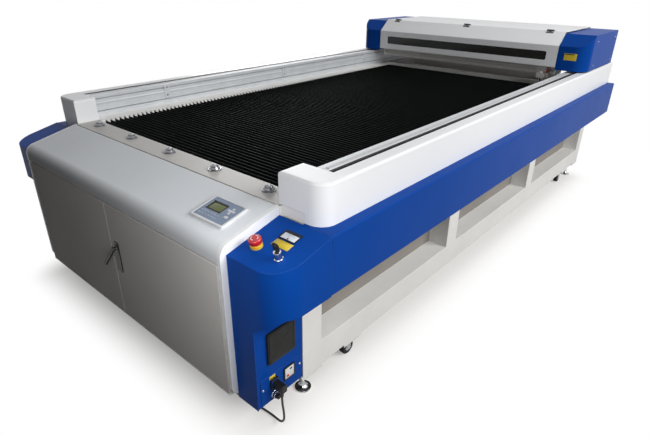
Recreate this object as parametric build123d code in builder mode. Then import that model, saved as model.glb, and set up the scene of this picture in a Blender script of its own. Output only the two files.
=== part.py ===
from build123d import *
import os
from math import atan2, cos, degrees, pi, radians, sin, tan

os.makedirs("parts", exist_ok=True)

# Overall sizes, in millimetres: X runs across, Y from the doors to the rear, Z up from the floor
machine_length = 3505.0
deck_z = 775.0
overrun = 5.0
sheet = 3.0
running_clearance = 0.3

# Front cabinet, its hood and its two doors
door_half_width = 700.0
cabinet_bottom_z = 130.0
hood_face_height = 61.0
seam_gap = 3.0
hood_depth = 247.0
hood_drop = 59.0
hood_front_radius = 45.0
hood_back_flange = 30.0
hood_lip_depth = 25.0
bend_radius = 6.0
side_plate_thickness = 16.0
side_plate_radius = 40.0
side_groove_width = 3.0
side_groove_depth = 4.0
door_thickness = 20.0
door_edge_gap = 4.0
door_wall = 4.0
hinge_inset = 6.0
hinge_strip = 16.0
hinge_pin_radius = 3.0
hinge_pin_length = 12.0

# Pop-out swing lock on the right door
lock_x = 45.0
lock_rise = 298.0
lock_plate_height = 135.0
lock_plate_width = 34.0
lock_plate_thickness = 4.0
lock_spindle_rise = 42.0
lock_disc_radius = 14.0
lock_disc_thickness = 4.0
lock_shaft_radius = 5.0
lever_pivot_out = 7.0
lever_pin_radius = 2.5
lever_ear = 3.0
lever_width = 16.0
lever_thickness = 9.0
lever_length = 66.0
lever_rest_angle = 42.0
door_edge_radius = 2.0
lock_plate_radius = 8.0

# Boxes on the cabinet's back wall
supply_size = (250.0, 110.0, 190.0)
controller_size = (210.0, 50.0, 140.0)
box_x = 320.0
box_rise = 200.0
box_lid = 4.0
box_lid_inset = 8.0

# Control panel on the hood
panel_width = 162.0
panel_depth = 117.0
panel_thickness = 9.0
panel_from_end = 134.0
panel_y = 124.0
panel_corner_radius = 6.0
panel_edge = 7.0
panel_recess = 1.5
display_width = 76.0
display_depth = 46.0
display_shift_x = 23.0
display_shift_y = 12.0
display_recess = 2.5

# Corner covers and long skirts
front_set_back = 24.0
corner_radius = 95.0
console_drop = 34.0
panel_set_in = 3.0
console_below_cabinet = 12.0
slant_height = 71.0
skirt_width = 122.0
skirt_height = 215.0
slant_inset = 17.0
skirt_joint = 1.0

# Console fittings: stop button, key switch, fan and inlet panel
stop_from_plate = 53.0
stop_y = 100.0
stop_ring_radius = 20.0
stop_ring_height = 12.0
stop_ring_fillet = 3.0
stop_stem_radius = 10.0
stop_stem_depth = 9.0
stop_cap_radius = 21.0
stop_cap_height = 16.0
stop_travel = 5.0
stop_cap_fillet = 6.0
key_from_plate = 157.0
key_y = 92.0
key_barrel_radius = 12.0
key_barrel_height = 30.0
key_nut_radius = 15.0
key_nut_height = 6.0
key_shank_radius = 5.0
key_seat_depth = 14.0
key_bow_gap = 3.0
key_bow_width = 24.0
key_bow_height = 28.0
key_bow_thickness = 4.0
key_bow_hole_radius = 4.0
fan_y = 136.0
fan_rise = 233.0
fan_guard_lap = 3.0
fan_guard_thickness = 9.0
fan_guard_radius = 6.0
fan_wall = 2.5
fan_rib = 7.0
fan_hub_radius = 20.0
fan_frame_size = 119.0
fan_frame_depth = 38.0
fan_spider_depth = 5.0
fan_blade_count = 7
fan_blade_thickness = 3.0
fan_blade_gap = 2.0
fan_blade_tilt = 32.0
fan_axle_radius = 4.0
inlet_y = 134.0
inlet_rise = 68.0
inlet_width = 190.0
inlet_height = 104.0
inlet_thickness = 2.0
inlet_margin = 16.0
socket_shift_y = -36.0
socket_shift_z = 10.0
socket_width = 30.0
socket_height = 36.0
socket_depth = 8.0
connector_drop = 50.0
connector_radius = 11.0
connector_length = 14.0
connector_cap_radius = 8.0
connector_cap_length = 10.0

# Steel frame, feet and casters
frame_gap = 4.0
tube = 100.0
lower_beam_height = 112.0
cross_tube = 80.0
first_leg_inset = 43.0
last_leg_inset = 86.0
leg_count = 4
foot_height = 100.0
pad_thickness = 14.0
pad_length = 112.0
foot_radius = 32.0
foot_rim = 6.0
foot_bell_height = 40.0
foot_stem_radius = 8.0
foot_nut_width = 26.0
foot_nut_height = 10.0
caster_from_leg = 245.0
caster_lift = 3.0
wheel_radius = 34.0
wheel_width = 26.0
wheel_fillet = 5.0
axle_radius = 4.0
fork_side = 3.0
fork_gap = 1.5
fork_trail = 20.0
fork_crown_radius = 26.0
fork_crown_thickness = 7.0
fork_arm_width = 22.0
fork_stud_radius = 6.0
fork_stud_length = 10.0

# Side rails and their covers
rail_gap = 10.0
rail_block_length = 108.0
rail_block_lap = 14.0
rail_cover_step = 45.0
rail_height = 112.0
rail_corner_radius = 60.0
rail_edge_radius = 10.0
profile_width = 61.0
slot_width = 14.0
profile_seat = 52.0
profile_drop = 3.0
profile_rear_gap = 10.0
groove_width = 12.0
groove_depth = 9.0
groove_mouth = 6.0
groove_shares = (0.24, 0.82)
clamp_shares = (0.1415, 0.44, 0.7385)
clamp_length = 35.0
clamp_top_gap = 2.0
clamp_rise = 31.0
guide_height = 20.0
guide_width = 15.0
guide_rise = 47.0
belt_width = 16.0
belt_thickness = 2.5
belt_from_edge = 30.0
belt_end_gap = 25.0

# Bed: front plate, ball units, combs, slats and rear bar
front_plate_depth = 113.0
bed_rear_gap = 575.0
front_plate_gap = 2.0
front_plate_flange = 40.0
ball_from_hood = 66.0
ball_pitch = 300.0
ball_count = 5
ball_radius = 15.0
ball_rise = 9.0
ball_flange_radius = 26.0
ball_flange_height = 4.0
ball_cup_radius = 19.0
ball_cup_height = 13.0
slat_pitch = 25.0
slat_base = 6.0
slat_tip = 2.0
slat_height = 35.0
slat_below_deck = 4.0
slat_end_gap = 1.0
comb_width = 48.0
comb_notch = 18.0
comb_ledge = 12.0
comb_play = 1.5
rear_bar_depth = 50.0
rear_bar_rise = 10.0
rear_bar_height = 60.0

# Travelling gantry and its covers
gantry_rear_gap = 65.0
gantry_depth = 640.0
gantry_float = 8.0
cap_front_height = 151.0
cap_slope_height = 70.0
gantry_slope_run = 95.0
cover_above_cap = 9.0
cap_overlap = 60.0
cap_gap = 2.0
cap_radius = 90.0
cover_bottom_rise = 12.0
cover_hem = 8.0
crease_gap = 2.0
window_side = 71.0
window_rise = 43.0
window_height = 56.0
window_radius = 10.0
window_clearance = 0.3
hinge_from_end = 101.0
hinge_length = 46.0
hinge_knuckle_radius = 5.0
hinge_leaf_length = 22.0
hinge_leaf_thickness = 2.0
hinge_leaf_share = 0.3

# Gantry beam, brackets, drive and laser
beam_end_gap = 8.0
beam_back_of_cover = 60.0
beam_depth = 120.0
beam_hang = 42.0
beam_height = 122.0
beam_groove_count = 3
beam_groove_width = 14.0
beam_groove_depth = 10.0
beam_rail_rise = 72.0
beam_rail_height = 18.0
beam_rail_depth = 12.0
end_plate = 10.0
saddle_thickness = 10.0
saddle_length = 340.0
arm_thickness = 8.0
arm_length = 300.0
arm_set_back = 20.0
carriage_length = 90.0
carriage_width = 32.0
carriage_height = 46.0
floor_hang = 27.0
shaft_gap = 6.0
shaft_radius = 9.0
shaft_end_gap = 4.0
pulley_radius = 24.0
pulley_width = 18.0
bearing_block = 46.0
bearing_thickness = 14.0
motor_length = 110.0
motor_x = 420.0
x_motor_size = 60.0
x_motor_height = 62.0
x_motor_shaft_radius = 6.0
x_motor_shaft_length = 24.0
laser_radius = 40.0
laser_overhang = 82.0
laser_cap_radius = 34.0
laser_cap_length = 60.0
laser_behind_shaft = 70.0
laser_rise = 134.0
laser_stand_x = 520.0
laser_stand_width = 30.0
laser_stand_foot = 110.0
x_belt_gap = 4.0
x_belt_width = 15.0
x_belt_thickness = 2.0
x_pulley_radius = 14.0
x_pulley_inset = 45.0

# Cutting head
head_parking = 70.0
head_plate_width = 84.0
head_plate_thickness = 7.0
head_above_rail = 43.0
head_below_rail = 93.0
mirror_block_width = 56.0
mirror_block_depth = 26.0
mirror_gap = 28.0
mirror_block_height = 46.0
clamp_width = 46.0
clamp_height = 36.0
lens_radius = 14.0
lens_wall = 4.0
lens_stand_off = 21.0
lens_above_clamp = 6.0
lens_below_clamp = 6.0
nozzle_height = 26.0
nozzle_tip_radius = 4.0

# Power cord: its two plugs, the free stretch and the coil of spare length under the cabinet
plug_width = 26.0
plug_height = 30.0
plug_length = 44.0
plug_nose = 24.0
plug_nose_wall = 4.5
relief_wall = 1.5
mains_length = 36.0
mains_width = 34.0
mains_thickness = 26.0
mains_fillet = 8.0
mains_gap = 2.5
pin_diameter = 4.8
pin_length = 19.0
pin_pitch = 19.0
cord_radius = 4.0
cord_bend_share = 0.45
cord_points = [
    (856.0, 98.0, 127.0),
    (861.0, 99.5, 85.0),
    (858.0, 103.0, 43.0),
    (834.0, 108.0, 12.0),
    (792.0, 114.0, 5.0),
    (742.0, 112.5, 4.6),
    (690.0, 104.0, 4.6),
    (640.0, 98.2, 4.6),
    (591.5, 97.0, 4.6),
]
coil_x = 560.0
coil_y = 150.0
coil_radius = 45.0
coil_width = 26.0
coil_height = 25.0
coil_fillet = 7.0


def write_piece(piece, label):
    """Name a finished piece and write it to its own file."""
    piece.part.label = label
    export_step(piece.part, f"parts/{label}.step")


def block(x_from, x_to, y_from, y_to, z_from, z_to, mode=Mode.ADD):
    """Add or cut a rectangular block between two corners."""
    with Locations(((x_from + x_to) / 2, (y_from + y_to) / 2, (z_from + z_to) / 2)):
        Box(abs(x_to - x_from), abs(y_to - y_from), abs(z_to - z_from), mode=mode)


def write_group(solids, label):
    """Name a set of separate solids that share one node and write it."""
    group = Compound(label=label, children=solids)
    export_step(group, f"parts/{label}.step")


def rod(x, y, z, radius, length, turn=(0, 0, 0), mode=Mode.ADD):
    """Add or cut a cylinder about its middle, upright unless it is turned."""
    with Locations(Location((x, y, z), turn)):
        Cylinder(radius, length, mode=mode)


along_x = (0, 90, 0)
along_y = (90, 0, 0)
both_sides = (-1, 1)

# Places along Y, set so that the machine with its lever popped out is centred
lever_angle = radians(lever_rest_angle)
pivot_out = lock_plate_thickness + lock_disc_thickness + lever_pivot_out
lever_reach = pivot_out + lever_length * sin(lever_angle) + lever_thickness / 2 * cos(lever_angle)
door_y = (lever_reach - machine_length) / 2
rear_y = door_y + machine_length
front_y = door_y + front_set_back
hood_back_y = door_y + hood_depth
rail_front_y = hood_back_y + rail_gap
rail_block_y = rail_front_y + rail_block_length
bed_front_y = hood_back_y + front_plate_depth
bed_rear_y = rear_y - bed_rear_gap
gantry_back_y = rear_y - gantry_rear_gap
gantry_y = gantry_back_y - gantry_depth
first_leg_y = hood_back_y + first_leg_inset
last_leg_y = rear_y - last_leg_inset
leg_pitch = (last_leg_y - first_leg_y) / (leg_count - 1)
leg_places = [first_leg_y + number * leg_pitch for number in range(leg_count)]
caster_places = (first_leg_y + caster_from_leg, last_leg_y - caster_from_leg)

# Places across the machine, from the cabinet outwards
side_plate_outer = door_half_width + side_plate_thickness
post_inner = side_plate_outer + frame_gap
frame_half_width = post_inner + tube
foot_x = post_inner + tube / 2
cover_half_width = frame_half_width + skirt_width
panel_face_x = frame_half_width - panel_set_in
rail_cover_half_width = cover_half_width - rail_cover_step
rail_block_inner = post_inner - rail_block_lap
profile_inner = frame_half_width - profile_seat
slot_inner = profile_inner + profile_width
slot_outer = slot_inner + slot_width
cap_inner = profile_inner - cap_overlap
door_pivot_x = door_half_width - door_edge_gap - hinge_inset
pin_hole_radius = hinge_pin_radius + running_clearance

# Heights and slopes that several pieces share
hood_slope = hood_drop / hood_depth
slope_angle = degrees(atan2(hood_drop, hood_depth))
hood_normal = (0, -sin(radians(slope_angle)), cos(radians(slope_angle)))
hood_front_z = deck_z - hood_drop
seam_z = hood_front_z - hood_face_height
skirt_top_z = deck_z - console_drop
skirt_bottom_z = skirt_top_z - skirt_height
console_bottom_z = cabinet_bottom_z - console_below_cabinet
pad_bottom_z = foot_height
lower_beam_bottom_z = pad_bottom_z + pad_thickness
lower_beam_top_z = lower_beam_bottom_z + lower_beam_height
upper_beam_bottom_z = deck_z - tube
door_pivot_y = door_y + hinge_inset
door_bottom_z = cabinet_bottom_z + sheet + seam_gap
door_top_z = seam_z - seam_gap
rail_cover_top_z = deck_z + rail_height
gantry_bottom_z = rail_cover_top_z + gantry_float
gantry_knee_z = gantry_bottom_z + cap_front_height
gantry_top_z = gantry_knee_z + cap_slope_height

# Steel frame: long beams with their foot pads, posts and cross tubes, each its own welded tube
with BuildPart() as lower_beams:
    for side in both_sides:
        block(side * post_inner, side * frame_half_width, leg_places[0] - tube / 2,
              leg_places[-1] + tube / 2,
              lower_beam_bottom_z, lower_beam_top_z)
        for place in (leg_places[0], leg_places[-1], *caster_places):
            block(side * post_inner, side * frame_half_width, place - pad_length / 2,
                  place + pad_length / 2,
                  pad_bottom_z, lower_beam_bottom_z)
        for place in caster_places:
            rod(side * foot_x, place, pad_bottom_z, fork_stud_radius + running_clearance,
                2 * (fork_stud_length + running_clearance), mode=Mode.SUBTRACT)
with BuildPart() as posts:
    for side in both_sides:
        for place in leg_places:
            block(side * post_inner, side * frame_half_width, place - tube / 2, place + tube / 2,
                  lower_beam_top_z, upper_beam_bottom_z)
with BuildPart() as upper_beams:
    for side in both_sides:
        block(side * post_inner, side * frame_half_width, rail_front_y, leg_places[-1] + tube / 2,
              upper_beam_bottom_z, deck_z)
with BuildPart() as cross_tubes:
    rear_cross_y = leg_places[-1] + tube / 2 - cross_tube
    for place in (hood_back_y, rear_cross_y):
        for top_z in (lower_beam_bottom_z + cross_tube, deck_z - sheet):
            block(-post_inner, post_inner, place, place + cross_tube, top_z - cross_tube, top_z)
write_group(
    [*lower_beams.part.solids(), *posts.part.solids(), *upper_beams.part.solids(),
     *cross_tubes.part.solids()],
    "base_frame",
)

# Inner panels that close the space under the bed
with BuildPart() as inner_panels:
    for side in both_sides:
        block(side * (post_inner - sheet), side * post_inner, leg_places[0] - tube / 2,
              leg_places[-1] + tube / 2,
              lower_beam_top_z, upper_beam_bottom_z)
write_piece(inner_panels, "inner_panels")

# Levelling feet: turned bells on screwed stems, locked by nuts under the pads
with BuildPart() as foot:
    with BuildSketch(Plane.XZ):
        with BuildLine():
            Polyline((0, pad_bottom_z), (0, 0), (foot_radius, 0), (foot_radius, foot_rim))
            TangentArc((foot_radius, foot_rim), (foot_stem_radius, foot_bell_height), tangent=(-1, 0))
            Polyline((foot_stem_radius, foot_bell_height), (foot_stem_radius, pad_bottom_z),
                     (0, pad_bottom_z))
        make_face()
    revolve(axis=Axis.Z)
    with BuildSketch(Plane.XY.offset(pad_bottom_z - foot_nut_height)):
        RegularPolygon(foot_nut_width / 2, 6)
    extrude(amount=foot_nut_height)
feet = []
for side in both_sides:
    for place in (leg_places[0], leg_places[-1]):
        feet.append(foot.part.moved(Location((side * foot_x, place, 0))))
write_group(feet, "levelling_feet")

# Swivel casters, held just clear of the floor by the levelling feet
crown_top_z = pad_bottom_z - running_clearance
crown_bottom_z = crown_top_z - fork_crown_thickness
axle_z = caster_lift + wheel_radius
arm_inner = wheel_width / 2 + fork_gap
with BuildPart() as fork:
    with BuildSketch(Plane.XY.offset(crown_bottom_z)):
        Circle(fork_crown_radius)
    extrude(amount=fork_crown_thickness)
    rod(0, 0, crown_top_z + fork_stud_length / 2, fork_stud_radius, fork_stud_length)
    for side in both_sides:
        with BuildSketch(Plane.YZ.offset(side * arm_inner)):
            with BuildLine():
                Polyline((-fork_arm_width / 2, crown_bottom_z), (fork_arm_width / 2, crown_bottom_z),
                         (fork_trail + fork_arm_width / 2, axle_z),
                         (fork_trail - fork_arm_width / 2, axle_z),
                         close=True)
            make_face()
            with Locations((fork_trail, axle_z)):
                Circle(fork_arm_width / 2)
        extrude(amount=side * fork_side)
    rod(0, fork_trail, axle_z, axle_radius, 2 * (arm_inner + fork_side), along_x)
with BuildPart() as wheel:
    rod(0, fork_trail, axle_z, wheel_radius, wheel_width, along_x)
    fillet(wheel.edges(), wheel_fillet)
    rod(0, fork_trail, axle_z, axle_radius + running_clearance, wheel_width + overrun, along_x,
        Mode.SUBTRACT)
corner_names = ("front_left", "front_right", "rear_left", "rear_right")
corner_places = [(side * foot_x, place) for place in caster_places for side in both_sides]
for corner_name, (corner_x, corner_y) in zip(corner_names, corner_places):
    with BuildPart() as caster_fork:
        add(fork.part.moved(Location((corner_x, corner_y, 0))))
    write_piece(caster_fork, f"{corner_name}_caster_fork")
    with BuildPart() as caster_wheel:
        add(wheel.part.moved(Location((corner_x, corner_y, 0))))
    write_piece(caster_wheel, f"{corner_name}_caster_wheel")

# Cabinet shell: floor and back folded from one sheet, with the doors' lower hinge pins
with BuildPart() as cabinet_shell:
    with BuildSketch(Plane.YZ.offset(-door_half_width)):
        with BuildLine():
            FilletPolyline((door_y, cabinet_bottom_z), (hood_back_y, cabinet_bottom_z),
                           (hood_back_y, deck_z - hood_back_flange), radius=bend_radius)
            offset(amount=sheet, side=Side.LEFT)
        make_face()
    extrude(amount=2 * door_half_width)
    for side in both_sides:
        rod(side * door_pivot_x, door_pivot_y, door_bottom_z - seam_gap + (hinge_pin_length + seam_gap) / 2,
            hinge_pin_radius, hinge_pin_length + seam_gap)
write_piece(cabinet_shell, "cabinet_shell")

# Hood: folded sheet with a rounded front, a sloping top and the doors' upper hinge pins
with BuildPart() as cabinet_hood:
    with BuildSketch(Plane.YZ.offset(-door_half_width)):
        with BuildLine():
            FilletPolyline((door_y + hood_lip_depth, seam_z), (door_y, seam_z), (door_y, hood_front_z),
                           (hood_back_y, deck_z), (hood_back_y, deck_z - hood_back_flange),
                           radius=[bend_radius, hood_front_radius, bend_radius])
            offset(amount=sheet, side=Side.RIGHT)
        make_face()
    extrude(amount=2 * door_half_width)
    for side in both_sides:
        rod(side * door_pivot_x, door_pivot_y, seam_z - (seam_gap + hinge_pin_length - sheet) / 2,
            hinge_pin_radius, hinge_pin_length + seam_gap + sheet)
write_piece(cabinet_hood, "cabinet_hood")

# White end plates with the hood's side outline and a groove down the front edge
with BuildPart() as side_plates:
    for side in both_sides:
        with BuildSketch(Plane.YZ.offset(side * door_half_width)):
            with BuildLine():
                FilletPolyline((hood_back_y, cabinet_bottom_z), (door_y, cabinet_bottom_z),
                               (door_y, hood_front_z),
                               (hood_back_y, deck_z), radius=[side_plate_radius, hood_front_radius])
                Line((hood_back_y, deck_z), (hood_back_y, cabinet_bottom_z))
            make_face()
        extrude(amount=side * side_plate_thickness)
        groove_x = side * (door_half_width + side_plate_thickness / 2)
        block(groove_x - side_groove_width / 2, groove_x + side_groove_width / 2, door_y - overrun,
              door_y + side_groove_depth, cabinet_bottom_z + side_plate_radius, seam_z, Mode.SUBTRACT)
write_piece(side_plates, "side_plates")

# Doors: folded pans that turn on pins at their outer edges
lock_z = cabinet_bottom_z + lock_rise
spindle_z = lock_z + lock_spindle_rise
door_outer = door_half_width - door_edge_gap
for side, door_name in zip(both_sides, ("left_door", "right_door")):
    with BuildPart() as door:
        block(side * seam_gap / 2, side * door_outer, door_y, door_y + door_thickness, door_bottom_z,
              door_top_z)
        fillet(door.faces().sort_by(Axis.Y)[0].edges(), door_edge_radius)
        block(side * (seam_gap / 2 + door_wall), side * (door_outer - hinge_strip), door_y + door_wall,
              door_y + door_thickness + overrun, door_bottom_z + door_wall, door_top_z - door_wall,
              Mode.SUBTRACT)
        for edge_z in (door_bottom_z, door_top_z):
            rod(side * door_pivot_x, door_pivot_y, edge_z, pin_hole_radius,
                2 * (hinge_pin_length + running_clearance), mode=Mode.SUBTRACT)
        if side > 0:
            rod(lock_x, door_y, spindle_z, lock_shaft_radius + running_clearance,
                2 * (door_thickness + overrun), along_y, Mode.SUBTRACT)
    write_piece(door, door_name)

# Lock: plate, turning spindle with two ears, and the lever that pops out
plate_front_y = door_y - lock_plate_thickness
disc_front_y = plate_front_y - lock_disc_thickness
pivot_y = disc_front_y - lever_pivot_out
with BuildPart() as lock_plate:
    with BuildSketch(Plane.XZ.offset(-door_y)):
        with Locations((lock_x, lock_z)):
            RectangleRounded(lock_plate_width, lock_plate_height, lock_plate_radius)
        with Locations((lock_x, spindle_z)):
            Circle(lock_shaft_radius + running_clearance, mode=Mode.SUBTRACT)
    extrude(amount=lock_plate_thickness)
write_piece(lock_plate, "lock_plate")

ear_inner = lever_width / 2 + running_clearance
with BuildPart() as lock_spindle:
    with BuildSketch(Plane.XZ.offset(-plate_front_y)):
        with Locations((lock_x, spindle_z)):
            Circle(lock_disc_radius)
    extrude(amount=lock_disc_thickness)
    shaft_back_y = door_y + door_thickness
    rod(lock_x, (plate_front_y + shaft_back_y) / 2, spindle_z, lock_shaft_radius,
        shaft_back_y - plate_front_y, along_y)
    for side in both_sides:
        block(lock_x + side * ear_inner, lock_x + side * (ear_inner + lever_ear),
              pivot_y - lever_thickness / 2,
              disc_front_y, spindle_z - lever_thickness / 2, spindle_z + lever_thickness / 2)
    rod(lock_x, pivot_y, spindle_z, lever_pin_radius, 2 * (ear_inner + lever_ear), along_x)
write_piece(lock_spindle, "lock_spindle")

lever_plane = Plane(origin=(lock_x, pivot_y, spindle_z), x_dir=(1, 0, 0),
                    z_dir=(0, -sin(lever_angle), -cos(lever_angle)))
with BuildPart() as lock_lever:
    with BuildSketch(lever_plane):
        Rectangle(lever_width, lever_thickness)
    extrude(amount=lever_length)
    rod(lock_x, pivot_y, spindle_z, lever_thickness / 2, lever_width, along_x)
    rod(lock_x, pivot_y, spindle_z, lever_pin_radius + running_clearance, lever_width + overrun, along_x,
        Mode.SUBTRACT)
write_piece(lock_lever, "lock_lever")

# Laser supply and motion controller, screwed to the cabinet's back wall
wall_y = hood_back_y - sheet
box_z = cabinet_bottom_z + box_rise
control_boxes = []
for side, (box_width, box_depth, box_height) in zip(both_sides, (supply_size, controller_size)):
    with BuildPart() as control_box:
        block(side * box_x - box_width / 2, side * box_x + box_width / 2, wall_y - box_depth, wall_y,
              box_z - box_height / 2, box_z + box_height / 2)
        block(side * box_x - box_width / 2 + box_lid_inset, side * box_x + box_width / 2 - box_lid_inset,
              wall_y - box_depth - box_lid, wall_y - box_depth,
              box_z - box_height / 2 + box_lid_inset, box_z + box_height / 2 - box_lid_inset)
    control_boxes.append(control_box.part)
write_group(control_boxes, "control_boxes")

# Control panel on the hood's slope, with a shallow key field and a deeper display window
panel_x = door_half_width - panel_from_end
panel_plane = Plane(origin=(panel_x, door_y + panel_y, hood_front_z + hood_slope * panel_y),
                    x_dir=(1, 0, 0),
                    z_dir=hood_normal)
with BuildPart() as control_panel:
    with BuildSketch(panel_plane):
        RectangleRounded(panel_width, panel_depth, panel_corner_radius)
    extrude(amount=panel_thickness)
    with BuildSketch(panel_plane.offset(panel_thickness)):
        RectangleRounded(panel_width - 2 * panel_edge, panel_depth - 2 * panel_edge, panel_corner_radius)
    extrude(amount=-panel_recess, mode=Mode.SUBTRACT)
    with BuildSketch(panel_plane.offset(panel_thickness - panel_recess)):
        with Locations((-display_shift_x, display_shift_y)):
            Rectangle(display_width, display_depth)
    extrude(amount=-display_recess, mode=Mode.SUBTRACT)
write_piece(control_panel, "control_panel")


def corner_form(inset, reach, profile):
    """Corner cover as a solid: a plan with one large round corner, cut to a front view and a sloping top."""
    outer_x = cover_half_width - inset
    near_y = front_y + inset
    with BuildPart() as form:
        with BuildSketch(Plane.XY.offset(console_bottom_z - reach)):
            with BuildLine():
                FilletPolyline((side_plate_outer - reach, near_y), (outer_x, near_y),
                               (outer_x, hood_back_y + reach), radius=corner_radius - inset)
                Polyline((outer_x, hood_back_y + reach), (side_plate_outer - reach, hood_back_y + reach),
                         (side_plate_outer - reach, near_y))
            make_face()
        extrude(amount=deck_z - console_bottom_z)
        if profile:
            with BuildSketch(Plane.XZ.offset(-front_y)):
                with BuildLine():
                    Polyline(*profile, close=True)
                make_face()
            extrude(amount=-hood_depth - reach, mode=Mode.INTERSECT)
        top_z = skirt_top_z - inset / cos(radians(slope_angle))
        split(bisect_by=Plane(origin=(0, hood_back_y, top_z), z_dir=hood_normal), keep=Keep.BOTTOM)
    return form.part


# Right console cover: one sheet face in front, a slanted lower edge at the side, a sloping top
console_profile = [
    (side_plate_outer, console_bottom_z), (panel_face_x, console_bottom_z),
    (panel_face_x, skirt_bottom_z - slant_height), (cover_half_width - slant_inset, skirt_bottom_z),
    (cover_half_width, skirt_bottom_z), (cover_half_width, deck_z), (side_plate_outer, deck_z),
]
plain_profile = [
    (side_plate_outer, skirt_bottom_z), (cover_half_width, skirt_bottom_z), (cover_half_width, deck_z),
    (side_plate_outer, deck_z),
]
inner_form = corner_form(sheet, overrun, None)
with BuildPart() as right_console_cover:
    add(corner_form(0, 0, console_profile))
    add(inner_form, mode=Mode.SUBTRACT)
write_piece(right_console_cover, "right_console_cover")

# Left corner cover: the same corner without the lower front
with BuildPart() as left_form:
    add(corner_form(0, 0, plain_profile))
    add(inner_form, mode=Mode.SUBTRACT)
with BuildPart() as left_corner_cover:
    mirror(left_form.part, about=Plane.YZ)
write_piece(left_corner_cover, "left_corner_cover")

# Console side panel: side and floor folded from one sheet, with holes for the fan and the inlet panel
leg_front_y = leg_places[0] - tube / 2
fan_z = console_bottom_z + fan_rise
fan_bore_radius = fan_frame_size / 2 - fan_wall
fan_guard_size = fan_frame_size + 2 * fan_guard_lap
fan_ring_radius = (fan_hub_radius + fan_bore_radius - fan_rib) / 2
inlet_z = console_bottom_z + inlet_rise
inlet_hole_width = inlet_width - 2 * inlet_margin
inlet_hole_height = inlet_height - 2 * inlet_margin
with BuildPart() as console_side_panel:
    with BuildSketch(Plane.XZ.offset(-front_y - sheet)):
        with BuildLine():
            FilletPolyline((side_plate_outer, console_bottom_z), (panel_face_x, console_bottom_z),
                           (panel_face_x, skirt_bottom_z), radius=bend_radius)
            offset(amount=sheet, side=Side.LEFT)
        make_face()
    extrude(amount=-(leg_front_y - front_y - sheet))
    rod(panel_face_x, door_y + fan_y, fan_z, fan_bore_radius, 2 * (sheet + overrun), along_x, Mode.SUBTRACT)
    block(panel_face_x - sheet - overrun, panel_face_x + overrun, door_y + inlet_y - inlet_hole_width / 2,
          door_y + inlet_y + inlet_hole_width / 2, inlet_z - inlet_hole_height / 2,
          inlet_z + inlet_hole_height / 2,
          Mode.SUBTRACT)
write_piece(console_side_panel, "console_side_panel")

# Fan: guard outside the panel, frame with a spider behind it, and the turning rotor
fan_plane = Plane(origin=(panel_face_x, door_y + fan_y, fan_z), x_dir=(0, 1, 0), z_dir=(1, 0, 0))
with BuildPart() as fan_guard:
    with BuildSketch(fan_plane):
        RectangleRounded(fan_guard_size, fan_guard_size, fan_guard_radius)
        Circle(fan_bore_radius, mode=Mode.SUBTRACT)
        for rib_turn in (-45, 45):
            Rectangle(2 * fan_bore_radius, fan_rib, rotation=rib_turn)
        Circle(fan_hub_radius)
    extrude(amount=fan_guard_thickness)
    with BuildSketch(fan_plane):
        Circle(fan_ring_radius + fan_rib)
        Circle(fan_ring_radius, mode=Mode.SUBTRACT)
    extrude(amount=fan_guard_thickness)
write_piece(fan_guard, "fan_guard")

frame_back = sheet + fan_frame_depth
with BuildPart() as fan_frame:
    with BuildSketch(fan_plane.offset(-frame_back)):
        RectangleRounded(fan_frame_size, fan_frame_size, fan_guard_radius)
        Circle(fan_bore_radius, mode=Mode.SUBTRACT)
    extrude(amount=fan_frame_depth)
    with BuildSketch(fan_plane.offset(-frame_back)):
        Circle(fan_hub_radius)
        Rectangle(2 * fan_bore_radius + fan_rib / 2, fan_rib)
        Rectangle(fan_rib, 2 * fan_bore_radius + fan_rib / 2)
    extrude(amount=fan_spider_depth)
    with BuildSketch(fan_plane.offset(-frame_back)):
        Circle(fan_axle_radius)
    extrude(amount=fan_frame_depth - fan_blade_gap)
write_piece(fan_frame, "fan_frame")

rotor_back = frame_back - fan_spider_depth - running_clearance
rotor_length = fan_frame_depth - fan_spider_depth - fan_blade_gap
blade_root = fan_hub_radius - fan_blade_thickness
blade_tip = fan_bore_radius - 3 * fan_blade_gap
blade_middle = (blade_root + blade_tip) / 2
blade_chord = rotor_length - 3 * fan_blade_gap
with BuildPart(fan_plane.offset(-rotor_back + rotor_length / 2)) as fan_blades:
    with PolarLocations(0, fan_blade_count):
        with Locations(Location((blade_middle, 0, 0), (fan_blade_tilt, 0, 0))):
            Box(blade_tip - blade_root, fan_blade_thickness, blade_chord)
with BuildPart() as fan_rotor:
    with BuildSketch(fan_plane.offset(-rotor_back)):
        Circle(fan_hub_radius)
    extrude(amount=rotor_length)
    add(fan_blades.part)
    rod(panel_face_x - rotor_back + rotor_length / 2, door_y + fan_y, fan_z,
        fan_axle_radius + running_clearance,
        rotor_length + overrun, along_x, Mode.SUBTRACT)
write_piece(fan_rotor, "fan_rotor")

# Inlet panel: plate with the power socket and a capped round connector
inlet_plane = Plane(origin=(panel_face_x, door_y + inlet_y, inlet_z), x_dir=(0, 1, 0), z_dir=(1, 0, 0))
socket_place = (socket_shift_y, socket_shift_z)
connector_place = (socket_shift_y, socket_shift_z - connector_drop)
with BuildPart() as inlet_panel:
    with BuildSketch(inlet_plane):
        Rectangle(inlet_width, inlet_height)
    extrude(amount=inlet_thickness)
    with BuildSketch(inlet_plane.offset(inlet_thickness)):
        with Locations(socket_place):
            RectangleRounded(socket_width, socket_height, panel_corner_radius)
    extrude(amount=socket_depth)
    with BuildSketch(inlet_plane.offset(inlet_thickness)):
        with Locations(connector_place):
            Circle(connector_radius)
    extrude(amount=connector_length)
    with BuildSketch(inlet_plane.offset(inlet_thickness + connector_length)):
        with Locations(connector_place):
            Circle(connector_cap_radius)
    extrude(amount=connector_cap_length)
write_piece(inlet_panel, "inlet_panel")


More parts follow.
